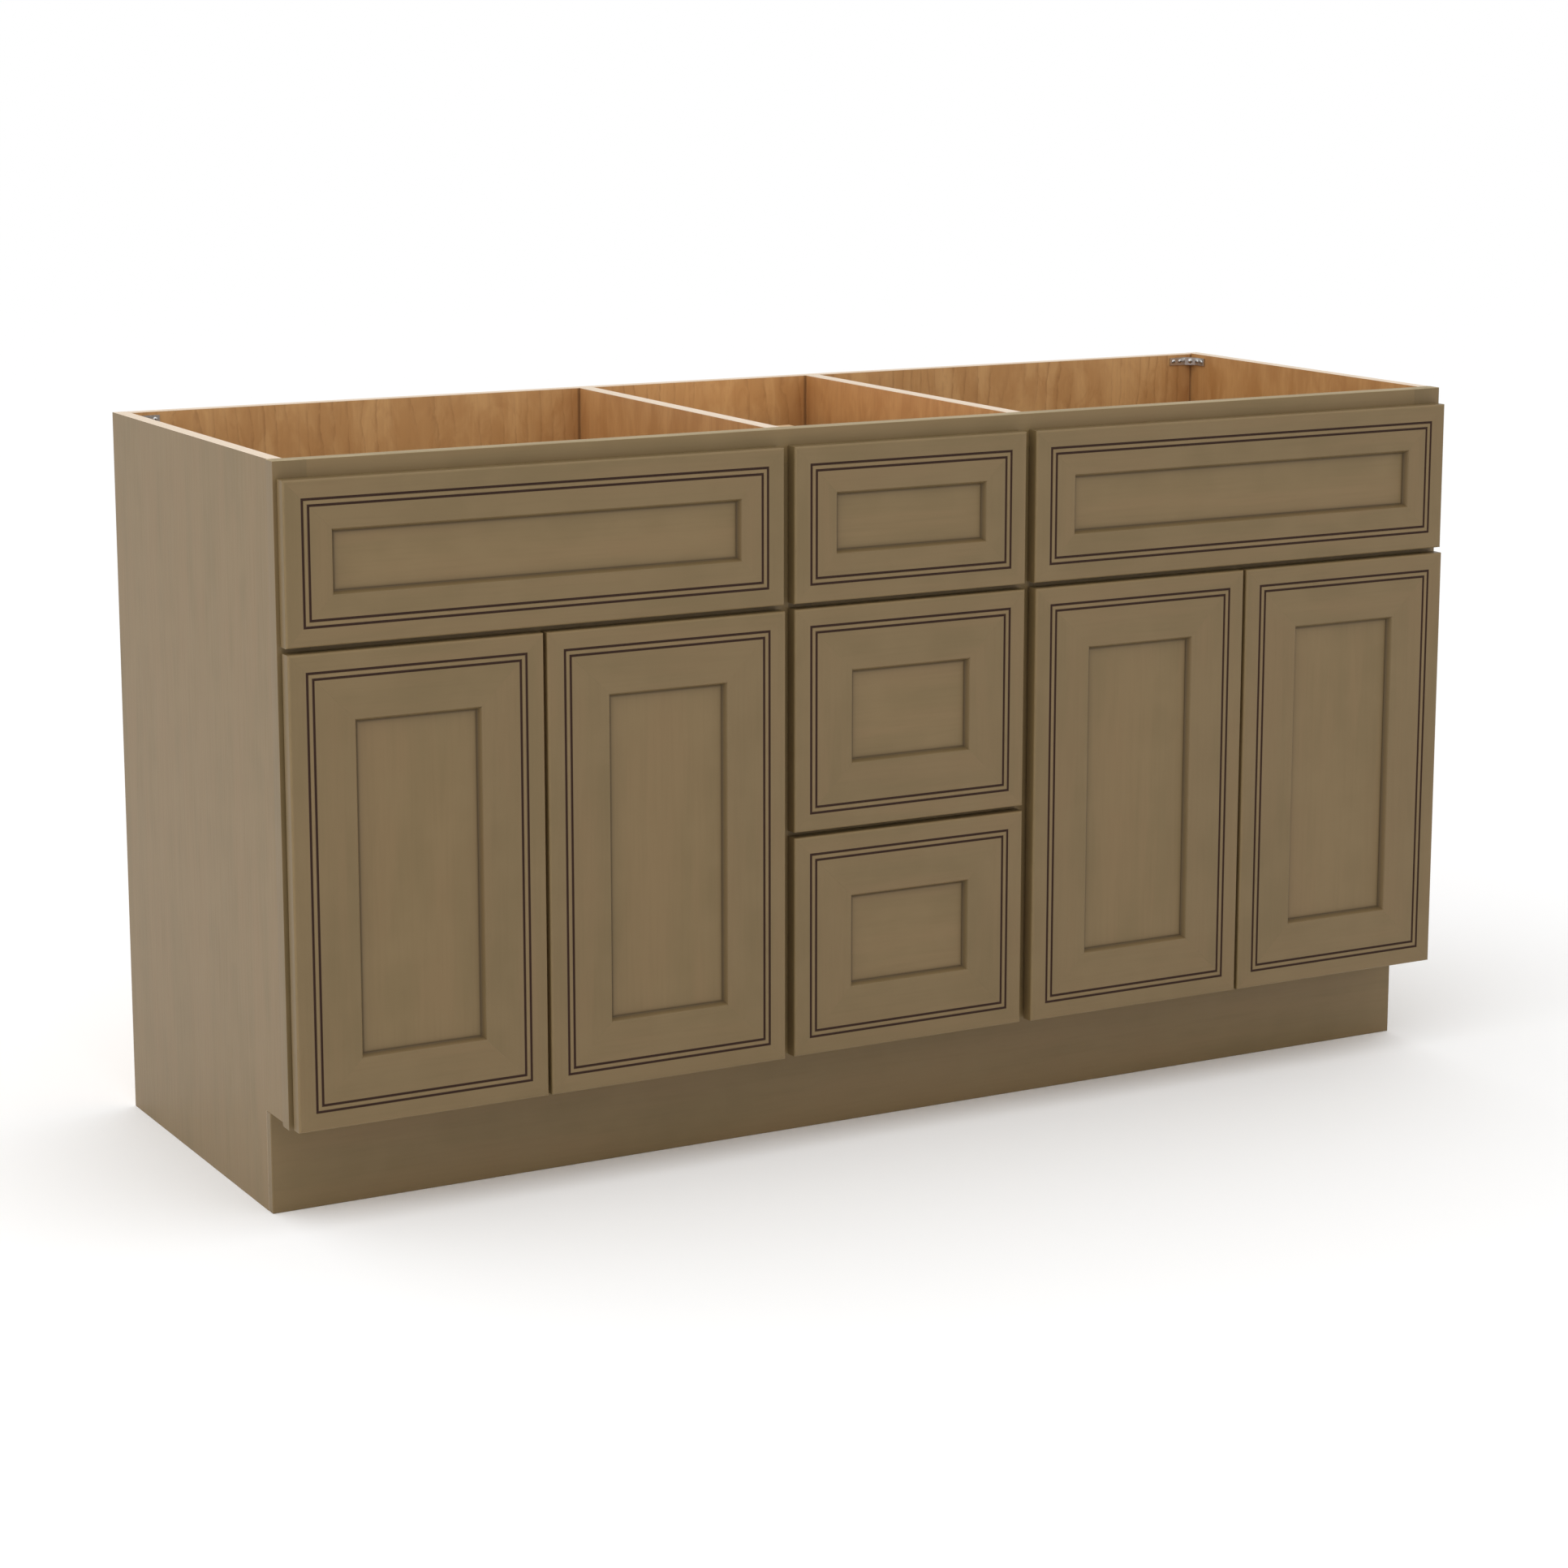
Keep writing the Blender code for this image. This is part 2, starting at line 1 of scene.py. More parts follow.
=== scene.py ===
"""Looks of the bathroom vanity cabinet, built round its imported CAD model.

Metres, +Z up, the doors facing -Y.  The face frame, moulded fronts, hinge cups, corner
brackets and drawer boxes are made again here in finer detail.  Everything else keeps its
CAD shape and gets its material.  Screws, hinge links, bumpers and the drawers' slide
members are added.
"""
from math import cos, pi, radians, sin

import bmesh
import bpy
from mathutils import Matrix, Vector
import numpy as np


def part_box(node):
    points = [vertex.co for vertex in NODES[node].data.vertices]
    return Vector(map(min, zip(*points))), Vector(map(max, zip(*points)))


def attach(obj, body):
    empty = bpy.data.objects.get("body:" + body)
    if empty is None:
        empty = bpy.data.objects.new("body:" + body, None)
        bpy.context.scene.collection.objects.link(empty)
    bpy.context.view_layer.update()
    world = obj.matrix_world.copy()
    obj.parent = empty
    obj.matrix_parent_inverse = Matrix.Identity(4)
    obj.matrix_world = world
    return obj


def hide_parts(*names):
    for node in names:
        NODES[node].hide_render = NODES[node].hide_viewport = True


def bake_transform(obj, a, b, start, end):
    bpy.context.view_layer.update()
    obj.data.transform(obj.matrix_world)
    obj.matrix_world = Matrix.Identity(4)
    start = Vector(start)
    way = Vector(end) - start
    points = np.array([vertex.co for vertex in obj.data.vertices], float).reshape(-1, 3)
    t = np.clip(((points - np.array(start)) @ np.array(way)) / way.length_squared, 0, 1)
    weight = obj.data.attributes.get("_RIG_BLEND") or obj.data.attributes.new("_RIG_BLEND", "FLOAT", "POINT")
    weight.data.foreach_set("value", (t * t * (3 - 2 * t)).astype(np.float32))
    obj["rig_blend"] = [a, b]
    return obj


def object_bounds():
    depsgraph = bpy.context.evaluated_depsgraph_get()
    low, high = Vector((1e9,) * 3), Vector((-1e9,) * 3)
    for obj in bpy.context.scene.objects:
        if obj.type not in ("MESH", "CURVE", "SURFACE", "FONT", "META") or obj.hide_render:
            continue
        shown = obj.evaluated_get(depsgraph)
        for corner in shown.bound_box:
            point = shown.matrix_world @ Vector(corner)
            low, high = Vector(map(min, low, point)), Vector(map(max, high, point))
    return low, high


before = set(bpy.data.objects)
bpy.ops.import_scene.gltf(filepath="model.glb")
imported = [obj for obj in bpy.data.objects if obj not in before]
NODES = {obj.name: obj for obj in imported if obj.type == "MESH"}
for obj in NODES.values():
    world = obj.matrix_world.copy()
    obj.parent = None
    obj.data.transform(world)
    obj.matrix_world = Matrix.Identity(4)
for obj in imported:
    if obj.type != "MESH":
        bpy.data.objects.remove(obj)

CAD_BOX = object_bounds()

# --- sizes of what is made here, in metres ---
GAP = 0.0003  # air between pieces that touch
MITRE_GAP = 0.00002  # hairline between the members of a mitred frame
SMOOTH_LIMIT = radians(32)

FRONT_T = 0.0175  # doors, drawer fronts and false fronts
WIDE_FIELD = 0.0735  # outer edge to the cove on doors and tall drawer fronts
NARROW_FIELD = 0.053  # the same on false fronts and the shallow drawer front
COVE_W = 0.0045
COVE_DEPTH = 0.007
COVE_GLAZE_AND_SHADE = 0.62  # glaze and painted shade at the foot of the cove; 1 is a full groove
EDGE_ROUND = 0.0028
FLAT_START = 2.4 * EDGE_ROUND
COVE_LEAD = 0.0010  # last point of the flat to the cove
BACK_EASE = 0.0010  # eased back edges of doors and fronts
BEAD_START = 0.0197  # outer edge to the first groove of the bead
GROOVE_W = 0.0026
GROOVE_DEPTH = 0.0017
GROOVE_BRIM = 0.0003  # flat glaze-free brim on either side of a groove
# a groove's round bottom: share of its width, share of its depth, glaze
GROOVE_ARC = ((0.0, 0.06, 0.7), (0.12, 0.62, 1.0), (0.34, 0.95, 1.0),
              (0.66, 0.95, 1.0), (0.88, 0.62, 1.0), (1.0, 0.06, 0.7))
BEAD_W = 0.0042
BEAD_CROWN = 0.0005
EDGE_WEAR = 0.45  # how far the stain is rubbed off the rounded edges
BEAD_WEAR = 0.35
PANEL_T = 0.006
PANEL_TONGUE = 0.008  # how far the panel reaches into the frame's groove
# glaze and painted shade on the panel, darkest where the cove shades its edge, by the distance from its
# visible edge
PANEL_GLAZE_AND_SHADE = ((-PANEL_TONGUE, 0.6), (0.0, 0.6), (0.0008, 0.42), (0.0022, 0.16), (0.007, 0.0))
SHALLOW_FRONT = 0.2  # fronts less high than this have the narrow field

CUP_R = 0.0175
CUP_INSET = 0.0225  # door edge to the middle of the hinge cup
CUP_DEPTH = 0.0118
CUP_WALL = 0.0012
CUP_LIP = 0.0008  # width of the rim outside the cup
CUP_HOLLOW = 0.002  # rounding inside the cup's bottom
CUP_SOFT = 0.0003  # rounding of the rim
CUP_CHAMFER = 0.001  # outside, round the bottom
BORE_PAST = 0.0015  # the cup's bore goes this far past it at both ends
EAR_T = 0.0007  # flange of the cup
EAR_R = 0.0085
EAR_GAP = 0.0001  # between an ear and the rim
EAR_ROOT = radians(34)  # half the angle of the rim that an ear grows from
EAR_SCREW_IN = 0.0065  # ear's tip to its screw
PIN_R = 0.0009
PIN_EASE = 0.0003
PIN_PAST = 0.0006  # pins stand this far out of the lugs
CUP_PIN_REACH = 0.0125
ARM_SCREW_UP = 0.0135  # the arm's screws, above and below its middle
ARM_SCREW_IN = 0.0080  # and from its back edge
ADJUSTER_IN = 0.0045
LINK_T = 0.0014
LINK_SHALLOW = 0.0012  # depth of the links' ends on the arm, from the door's back
LINK_DEEP = 0.0080  # depth of their ends in the cup
# each link: door edge to its end on the arm, to its end in the cup, half its width
LINKS = ((0.0190, 0.0246, 0.0036), (0.0224, 0.0294, 0.0043))
LUG_OUT = 0.0054  # lugs that hold the links, from the middle of the arm
LUG_T = 0.0008
LUG_NEAR = LINKS[0][0] - 0.0012  # the lugs' two edges, from the door's edge
LUG_FAR = LINKS[1][0] + 0.0016
LUG_ROOT = -0.0010  # where they leave the arm, as a depth from the door's back
# a lug's nose: places across, and how far past the links' ends on the arm
LUG_NOSE = ((LUG_FAR, 0.0004), (LUG_FAR - 0.0010, 0.0014), (LUG_NEAR + 0.0006, 0.0014),
            (LUG_NEAR, 0.0006))
KNUCKLE_LIP = 0.0002  # knuckles stand this far out of their links
SEAT_GAP = 0.00005  # under small parts that lie on a surface

DRAWER_T = 0.015  # drawer box boards
DRAWER_BOTTOM_T = 0.006
DRAWER_BOTTOM_LIFT = 0.012
DRAWER_GROOVE = 0.006
DOVETAIL_PITCH = 0.030
DOVETAIL_SLOPE = 0.14
TAIL_SHARE = 0.36  # half a tail's width at its wide end, as a share of the pitch
TAIL_SLACK = 0.00006  # between a tail and a pin
BOARD_EASE = 0.0008
MEMBER_LENGTH = 0.44  # slide channel on the drawer
MEMBER_T = 0.0012
MEMBER_FLANGE = 0.0092
MEMBER_INSET = 0.0024  # the fixed channel's edges to its own, above and below
MEMBER_GAP = 0.0002  # between it and the drawer box
MEMBER_BACK = 0.001  # its front end behind the box's front
MEMBER_SCREWS = (0.035, 0.20, 0.36)  # from its front end
SLIDE_SCREWS = (0.012, 0.22)  # from the fixed channel's front end
SLIDE_LIP = 0.0060  # lip of the fixed slide channel to the inside of its web
FRONT_SCREW_X = 0.062  # screws that hold a drawer front, either side of the middle
FRONT_SCREW_Z = 0.022
FRONT_SCREW_LIFT = 0.008  # and their middle over the box's middle
BUMPER_INSET = 0.013
BUMPER_PAD = ((0, 0.0), (0.0042, 0.0), (0.0040, 0.0014), (0.0032, 0.0024),
              (0.0018, 0.0028), (0, 0.0029))

BRACKET_T = 0.0014
BRACKET_WEB = 0.0105  # corner to where the plate bends away from each wall
BRACKET_RIB = (0.0066, 0.0030, 0.0032)
LONG_LEG_SCREWS = (0.0190, 0.0295)  # from the corner
SHORT_LEG_SCREWS = (0.0150, 0.0245)

# screw heads: radius, height
ARM_SCREW = (0.0042, 0.0018)
ADJUSTER_SCREW = (0.0030, 0.0022)
CHANNEL_SCREW = (0.0038, 0.0014)  # on a hinge's ears and a drawer's slide channel
SLIDE_SCREW = (0.0036, 0.0012)
BRACKET_SCREW = (0.0027, 0.0013)
FRONT_SCREW = (0.0048, 0.0020)
SCREW_RIM = 0.35  # height of a head's rim, as a share of the head's height
SCREW_TURN = 0.5  # how the cross of every screw stands
CROSS_LENGTH = 0.55  # half the cross, as a share of the head's radius
CROSS_WIDTH = 0.13
CROSS_SINK = 0.0001
CROSS_T = 0.00022

FRAME_EASE = 0.0006  # eased edges round the face frame
FRAME_REACH = 0.00028  # frame members reach this far towards each other
FOOT_ROUND = 0.0035  # lower back edge of the outer stiles
WOOD_RELIEF = 0.00012  # bump of grain and pores
BIRCH_RELIEF = 0.0001
FINE_RELIEF = 0.00003
FINEST_RELIEF = 0.00002
LACQUER_GLOSS = 0.38  # specular level of the satin lacquer
SHEET_GLOSS = 0.31  # the same on the stained side panels
RING_PITCH = 0.018  # between growth lines of the maple veneer
SHADE_LINE_W = 0.0040  # painted shadow line on the back panel beside each board that meets it
SHADE_LINE_DARK = 0.50
CORNER_SHADE_REACH = 0.055  # and how far the painted shade round it goes
CORNER_SHADE_TINT = 0.42
PLY_PITCH = 0.0032  # a ply and its neighbour

PLAIN = (1.0, 1.0, 1.0)  # no tint
EVEN = (0, 1.0)  # no stretch of a noise: an axis and the scale along it
SIDES = (("left", -1), ("right", 1))
DRAWERS = ("top_drawer", "middle_drawer", "bottom_drawer")
# each door with the direction from its hinges across it
DOORS = (("left_outer_door", 1), ("left_inner_door", -1), ("right_inner_door", 1),
         ("right_outer_door", -1))


# --- building tools ---
def new_object(name, data):
    """An object round a mesh, lamp or lens, linked into the scene."""
    obj = bpy.data.objects.new(name, data)
    bpy.context.scene.collection.objects.link(obj)
    return obj


def put(name, bm, mats, body, replaced=()):
    """Turn a bmesh in place into a piece that rides on a body (None if it will be blended)."""
    bmesh.ops.recalc_face_normals(bm, faces=bm.faces)
    mesh = bpy.data.meshes.new(name)
    bm.to_mesh(mesh)
    bm.free()
    for mat in mats:
        mesh.materials.append(mat)
    mesh.shade_smooth()
    mesh.set_sharp_from_angle(angle=SMOOTH_LIMIT)
    obj = new_object(name, mesh)
    normals = obj.modifiers.new("weighted_normals", "WEIGHTED_NORMAL")
    normals.keep_sharp = True
    if body:
        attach(obj, body)
    if replaced:
        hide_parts(*replaced)
    return obj


def put_steel(name, bm, body, replaced=()):
    """Put a zinc-plated piece, whose second material is the dark cross of its screws, painted shade of their
    recess.
    """
    put(name, bm, [ZINC, RECESS_SHADE], body, replaced)


def new_bmesh():
    bm = bmesh.new()
    bm.verts.layers.float.new("glaze")
    return bm


def add_vert(bm, place, glaze=0.0):
    vert = bm.verts.new(place)
    vert[bm.verts.layers.float["glaze"]] = glaze
    return vert


def add_face(bm, verts, material=0):
    bm.faces.new(verts).material_index = material


def bridge(bm, first, second, material=0):
    """Quads between two rings of the same number of verts."""
    for i in range(len(first)):
        add_face(bm, (first[i - 1], first[i], second[i], second[i - 1]), material)


def join(bm, part):
    """Copy one bmesh into another and free it."""
    copies = {}
    for vert in part.verts:
        copies[vert] = add_vert(bm, vert.co)
    for face in part.faces:
        add_face(bm, [copies[v] for v in face.verts])
    part.free()


def add_prism(bm, outline, travel, material=0):
    """A flat outline pushed along a vector, closed at both ends."""
    near = [add_vert(bm, p) for p in outline]
    far = [add_vert(bm, Vector(p) + Vector(travel)) for p in outline]
    bridge(bm, near, far, material)
    add_face(bm, near, material)
    add_face(bm, far, material)


def add_ring(bm, matrix, radius, height, segments):
    """Verts round an axis, or the one vert on it where the radius is 0."""
    if radius == 0:
        return [add_vert(bm, matrix @ Vector((0, 0, height)))]
    ring = []
    for i in range(segments):
        angle = 2 * pi * i / segments
        spot = Vector((radius * cos(angle), radius * sin(angle), height))
        ring.append(add_vert(bm, matrix @ spot))
    return ring


def add_turned(bm, profile, place, axis, segments):
    """A solid of revolution: (radius, height) points from the axis out and back to it."""
    turn = Vector((0, 0, 1)).rotation_difference(Vector(axis)).to_matrix().to_4x4()
    matrix = Matrix.Translation(place) @ turn
    rings = [add_ring(bm, matrix, radius, height, segments) for radius, height in profile]
    for first, second in zip(rings, rings[1:]):
        if len(first) == 1 or len(second) == 1:
            tip, ring = (first[0], second) if len(first) == 1 else (second[0], first)
            for i in range(segments):
                add_face(bm, (tip, ring[i - 1], ring[i]))
        else:
            bridge(bm, first, second)


def add_tube(bm, profile, place):
    """An upright ring: (radius, height) points that close on themselves."""
    matrix = Matrix.Translation(place)
    rings = [add_ring(bm, matrix, radius, height, 16) for radius, height in profile]
    for i, ring in enumerate(rings):
        bridge(bm, rings[i - 1], ring)


def add_screw(bm, place, axis, size):
    """A pan head standing on a surface, with a cross on its top in place of a recess; material 1 is the
    cross, painted dark as the recess's shade.
    """
    radius, height = size
    head, steps = [(0, height)], 5
    for step in range(1, steps + 1):
        angle = pi / 2 * step / steps
        rise = SCREW_RIM + (1 - SCREW_RIM) * cos(angle)
        head.append((radius * sin(angle), height * rise))
    head += [(radius, 0.0), (0, 0.0)]
    add_turned(bm, head, place, axis, 20)
    axis = Vector(axis).normalized()
    side = axis.orthogonal().normalized()
    base = Vector(place) + axis * (height - CROSS_SINK)
    for turn in (SCREW_TURN, SCREW_TURN + pi / 2):
        along = Matrix.Rotation(turn, 3, axis) @ side
        across = axis.cross(along)
        half_l, half_w = radius * CROSS_LENGTH, radius * CROSS_WIDTH
        outline = [base + along * u * half_l + across * v * half_w
                   for u, v in ((-1, -1), (1, -1), (1, 1), (-1, 1))]
        add_prism(bm, outline, axis * CROSS_T, 1)


# --- material tools ---
def opaque(colour):
    """A colour triple with its alpha; a socket stays as it is."""
    return colour if isinstance(colour, bpy.types.NodeSocket) else (*colour, 1.0)


class Graph:
    """A material and its nodes, added and linked one call at a time."""

    def __init__(self, name, gloss=0.5, metallic=0.0):
        self.mat = bpy.data.materials.new(name)
        self.mat.use_nodes = True
        self.tree = self.mat.node_tree
        self.shader = self.tree.nodes["Principled BSDF"]
        self.shader.inputs["Specular IOR Level"].default_value = gloss
        self.shader.inputs["Metallic"].default_value = metallic
        self.place = self.add("TexCoord").outputs["Object"]
        self.facing = self.add("TexCoord").outputs["Normal"]

    def add(self, kind, settings=None, inputs=None):
        node = self.tree.nodes.new("ShaderNode" + kind)
        for key, value in (settings or {}).items():
            setattr(node, key, value)
        for key, value in (inputs or {}).items():
            self.feed(node.inputs[key], value)
        return node

    def feed(self, socket, value):
        if isinstance(value, bpy.types.NodeSocket):
            self.tree.links.new(value, socket)
        else:
            socket.default_value = value

    def math(self, operation, *values):
        node = self.add("Math", {"operation": operation}, dict(enumerate(values)))
        return node.outputs[0]

    def times(self, first, second):
        return self.math("MULTIPLY", first, second)

    def linear(self, value, gain, base):
        return self.math("MULTIPLY_ADD", value, gain, base)

    def rest(self, value):
        return self.math("SUBTRACT", 1.0, value)

    def smooth(self, value, low, high):
        """0 below low and 1 above high, with a soft step between them."""
        node = self.add("MapRange", {"interpolation_type": "SMOOTHSTEP"},
                        {"Value": value, "From Min": low, "From Max": high})
        return node.outputs["Result"]

    def mix(self, share, first, second, blend="MIX"):
        """Colour mix; sockets 0, 6 and 7 are the share and the two colours."""
        settings = {"data_type": "RGBA", "blend_type": blend}
        node = self.add("Mix", settings, {0: share, 6: opaque(first), 7: opaque(second)})
        return node.outputs[2]

    def tinge(self, colour, mask, strength, tint):
        """Shift a colour towards a tint where a mask says so."""
        return self.mix(self.times(mask, strength), colour, tint)

    def lerp(self, share, first, second):
        """Number mix; sockets 0, 2 and 3 are the share and the two numbers."""
        node = self.add("Mix", {"data_type": "FLOAT"}, {0: share, 2: first, 3: second})
        return node.outputs[0]

    def scaled(self, stretch, offset=(0, 0, 0)):
        """The place on the piece; stretch is the grain's axis and the scale along it."""
        axis, along = stretch
        scale = [1.0, 1.0, 1.0]
        scale[axis] = along
        node = self.add("Mapping", None, {"Vector": self.place, "Scale": scale,
                                          "Location": offset})
        return node.outputs["Vector"]

    def noise(self, stretch, offset, scale, detail=2.0, roughness=0.5, distortion=0.0):
        vector = self.scaled(stretch, offset)
        node = self.add("TexNoise", None, {"Vector": vector, "Scale": scale, "Detail": detail,
                                           "Roughness": roughness, "Distortion": distortion})
        return node.outputs["Fac"]

    def part_of(self, axis, source):
        """One of the three numbers of a vector."""
        return self.add("SeparateXYZ", None, {0: source}).outputs[axis]

    def finish(self, look, bump):
        """Join a look (colour, roughness, height) to the shader."""
        colour, roughness, height = look
        relief = self.add("Bump", None, {"Strength": 1.0, "Distance": bump, "Height": height})
        ends = {"Base Color": colour, "Roughness": roughness, "Normal": relief.outputs["Normal"]}
        for key, value in ends.items():
            self.feed(self.shader.inputs[key], value)
        return self.mat

    def choose(self, share, first, second):
        """Mix two looks."""
        return (self.mix(share, first[0], second[0]), self.lerp(share, first[1], second[1]),
                self.lerp(share, first[2], second[2]))


# --- looks: (colour, roughness, height) ---
def stain_look(g, axis, tint=PLAIN):
    """Olive-brown stained maple under satin lacquer, with dark glaze wiped into the grooves, and glaze with
    painted shade at the foot of the cove and the edge of the panel.
    """
    broad = g.noise((axis, 0.10), (3.1, 0.7, 1.9), 30, 3, 0.55, 0.3)
    streak = g.noise((axis, 0.035), (0.4, 5.2, 2.2), 300, 3, 0.6)
    fleck = g.noise((axis, 0.09), (7.7, 1.2, 4.4), 900, 2, 0.6)
    cloud = g.noise(EVEN, (1.3, 2.6, 0.2), 17, 2, 0.5)
    colour = g.mix(g.smooth(broad, 0.36, 0.66), (0.157, 0.106, 0.043), (0.177, 0.115, 0.049))
    colour = g.mix(g.smooth(cloud, 0.3, 0.85), colour, (0.177, 0.119, 0.051))
    dark = g.smooth(streak, 0.42, 0.72)
    colour = g.tinge(colour, dark, 0.10, (0.110, 0.072, 0.026))
    pores = g.smooth(fleck, 0.66, 0.78)
    colour = g.tinge(colour, pores, 0.10, (0.070, 0.044, 0.018))
    # the attribute: glaze in the grooves, glaze and painted shade at the cove's foot and the panel's edge,
    # and below 0 the rubbed edges
    glaze = g.add("Attribute", {"attribute_name": "glaze"}).outputs["Fac"]
    rubbed = g.times(g.times(glaze, -1.0), g.smooth(fleck, 0.2, 0.6))
    colour = g.mix(g.math("MAXIMUM", rubbed, 0.0), colour, (0.235, 0.160, 0.070))
    glaze = g.times(glaze, g.linear(broad, 0.3, 0.85))
    # olive-dark: painted shade at the cove's foot and the panel's edge, and the grooves' glaze
    colour = g.mix(g.smooth(glaze, 0.0, 0.7), colour, (0.066, 0.040, 0.013))
    # dark brown glaze, full in the grooves
    colour = g.mix(g.smooth(glaze, 0.6, 0.95), colour, (0.042, 0.016, 0.008))
    colour = g.mix(1.0, colour, tint, "MULTIPLY")
    roughness = g.linear(streak, 0.10, 0.38)
    roughness = g.linear(g.math("ABSOLUTE", glaze), 0.3, roughness)
    height = g.linear(pores, -0.25, g.times(streak, 0.35))
    return colour, roughness, height


def maple_look(g, grain, across, figure, tint=PLAIN):
    """Amber maple veneer: growth lines up the sheet, soft figure, pores and a rare knot."""
    warp = g.noise((grain, 0.3), (2.2, 4.1, 0.6), 4.0, 2, 0.5)
    jag = g.noise((grain, 0.45), (0.3, 0.9, 5.0), 55, 3, 0.6)
    count = g.linear(g.part_of(across, g.place), 1 / RING_PITCH, g.times(warp, 10.0))
    count = g.math("FRACT", g.linear(jag, 0.8, count))
    fade = g.rest(g.smooth(count, 0.90, 1.0))
    line = g.times(g.math("POWER", count, 6.0), fade)
    vary = g.noise((grain, 0.4), (8.0, 1.0, 2.0), 16, 2, 0.5)
    line = g.times(line, g.times(g.smooth(vary, 0.3, 0.62), figure))
    torn = g.noise((grain, 0.25), (6.0, 7.0, 1.0), 160, 2, 0.6, 0.8)
    line = g.times(line, g.smooth(torn, 0.25, 0.60))
    cross = g.noise((grain, 0.4), (5.0, 0.3, 8.0), 30, 3, 0.6, 0.5)
    streak = g.noise((grain, 0.04), (1.0, 9.0, 3.0), 300, 3, 0.6)
    fleck = g.noise((grain, 0.1), (4.0, 4.0, 4.0), 800, 2, 0.6)
    colour = g.mix(g.smooth(cross, 0.34, 0.68), (0.450, 0.230, 0.082), (0.545, 0.305, 0.122))
    flame = g.noise((grain, 0.5), (2.0, 2.0, 7.0), 42, 3, 0.65, 1.2)
    flame = g.times(g.smooth(flame, 0.52, 0.70), 0.30 * figure)
    colour = g.mix(flame, colour, (0.360, 0.165, 0.052))
    colour = g.tinge(colour, line, 0.85, (0.235, 0.098, 0.030))
    colour = g.tinge(colour, g.smooth(streak, 0.4, 0.75), 0.14, (0.340, 0.160, 0.055))
    pores = g.smooth(fleck, 0.68, 0.80)
    colour = g.tinge(colour, pores, 0.18, (0.220, 0.100, 0.036))
    knot = g.add("TexVoronoi", None, {"Vector": g.scaled((grain, 0.55)), "Scale": 7.0})
    chosen = g.math("GREATER_THAN", g.part_of(0, knot.outputs["Color"]), 0.72)
    spot = g.rest(g.smooth(knot.outputs["Distance"], 0.008, 0.035))
    spot = g.times(g.times(spot, chosen), figure)
    colour = g.tinge(colour, spot, 0.75, (0.130, 0.040, 0.014))
    colour = g.mix(1.0, colour, tint, "MULTIPLY")
    roughness = g.linear(streak, 0.12, 0.34)
    height = g.linear(pores, -0.3, g.times(streak, 0.3))
    return colour, roughness, height


def paint_corner_shade(g, look, axis, seams):
    """Painted shade: darken a look beside the places along an axis, either side of 0, where boards meet, as
    the shade in those corners.
    """
    place = g.math("ABSOLUTE", g.part_of(axis, g.place))
    away = 1.0
    for seam in seams:
        gap = g.math("ABSOLUTE", g.math("SUBTRACT", place, seam))
        away = g.math("MINIMUM", away, gap)
    colour, roughness, height = look
    # broad, redder painted shade that deepens towards each corner
    broad = g.rest(g.math("POWER", g.smooth(away, 0.0, CORNER_SHADE_REACH), 0.6))
    colour = g.tinge(colour, broad, CORNER_SHADE_TINT, (0.330, 0.130, 0.034))
    # narrow painted shadow line right beside each board
    line = g.rest(g.smooth(away, SHADE_LINE_W * 0.5, SHADE_LINE_W))
    colour = g.tinge(colour, line, SHADE_LINE_DARK, (0.080, 0.036, 0.014))
    return colour, roughness, height


def painted_light_top_look(g, axis):
    """Top edge of the face frame painted pale and dry: a painted highlight where the light from above falls
    on it.
    """
    streak = g.noise((axis, 0.03), (2.0, 3.0, 6.0), 300, 3, 0.6)
    patch = g.noise((axis, 0.3), (1.0, 4.0, 0.0), 40, 2, 0.5)
    colour = g.mix(g.smooth(patch, 0.3, 0.7), (0.318, 0.245, 0.137), (0.376, 0.297, 0.174))
    colour = g.tinge(colour, g.smooth(streak, 0.4, 0.7), 0.3, (0.210, 0.150, 0.070))
    return colour, g.linear(streak, 0.15, 0.75), streak


def ply_edge_look(g, axis):
    """Raw plywood edge: thin plies across the axis, pale, with sawn fibres."""
    depth = g.times(g.part_of(axis, g.place), 1 / PLY_PITCH)
    wobble = g.noise(EVEN, (0, 0, 0), 60, 2)
    ply = g.math("PINGPONG", g.linear(wobble, 0.15, depth), 0.5)
    fibre = g.noise(EVEN, (6.0, 1.0, 2.0), 700, 3, 0.7)
    colour = g.mix(g.smooth(ply, 0.20, 0.32), (0.740, 0.620, 0.490), (0.690, 0.560, 0.425))
    colour = g.tinge(colour, g.smooth(fibre, 0.5, 0.75), 0.22, (0.440, 0.320, 0.215))
    return colour, g.linear(fibre, 0.15, 0.62), fibre


def raw_look(g, axis):
    """Unfinished back of a sheet: pale rotary veneer."""
    rings = g.noise((axis, 0.2), (9.0, 2.0, 5.0), 5.0, 2, 0.5, 0.5)
    line = g.math("POWER", g.math("FRACT", g.times(rings, 12.0)), 5.0)
    streak = g.noise((axis, 0.04), (3.0, 6.0, 1.0), 300, 3, 0.6)
    colour = g.mix(g.times(line, 0.5), (0.640, 0.470, 0.310), (0.470, 0.300, 0.170))
    colour = g.tinge(colour, g.smooth(streak, 0.35, 0.7), 0.3, (0.520, 0.360, 0.220))
    return colour, g.linear(streak, 0.15, 0.58), streak


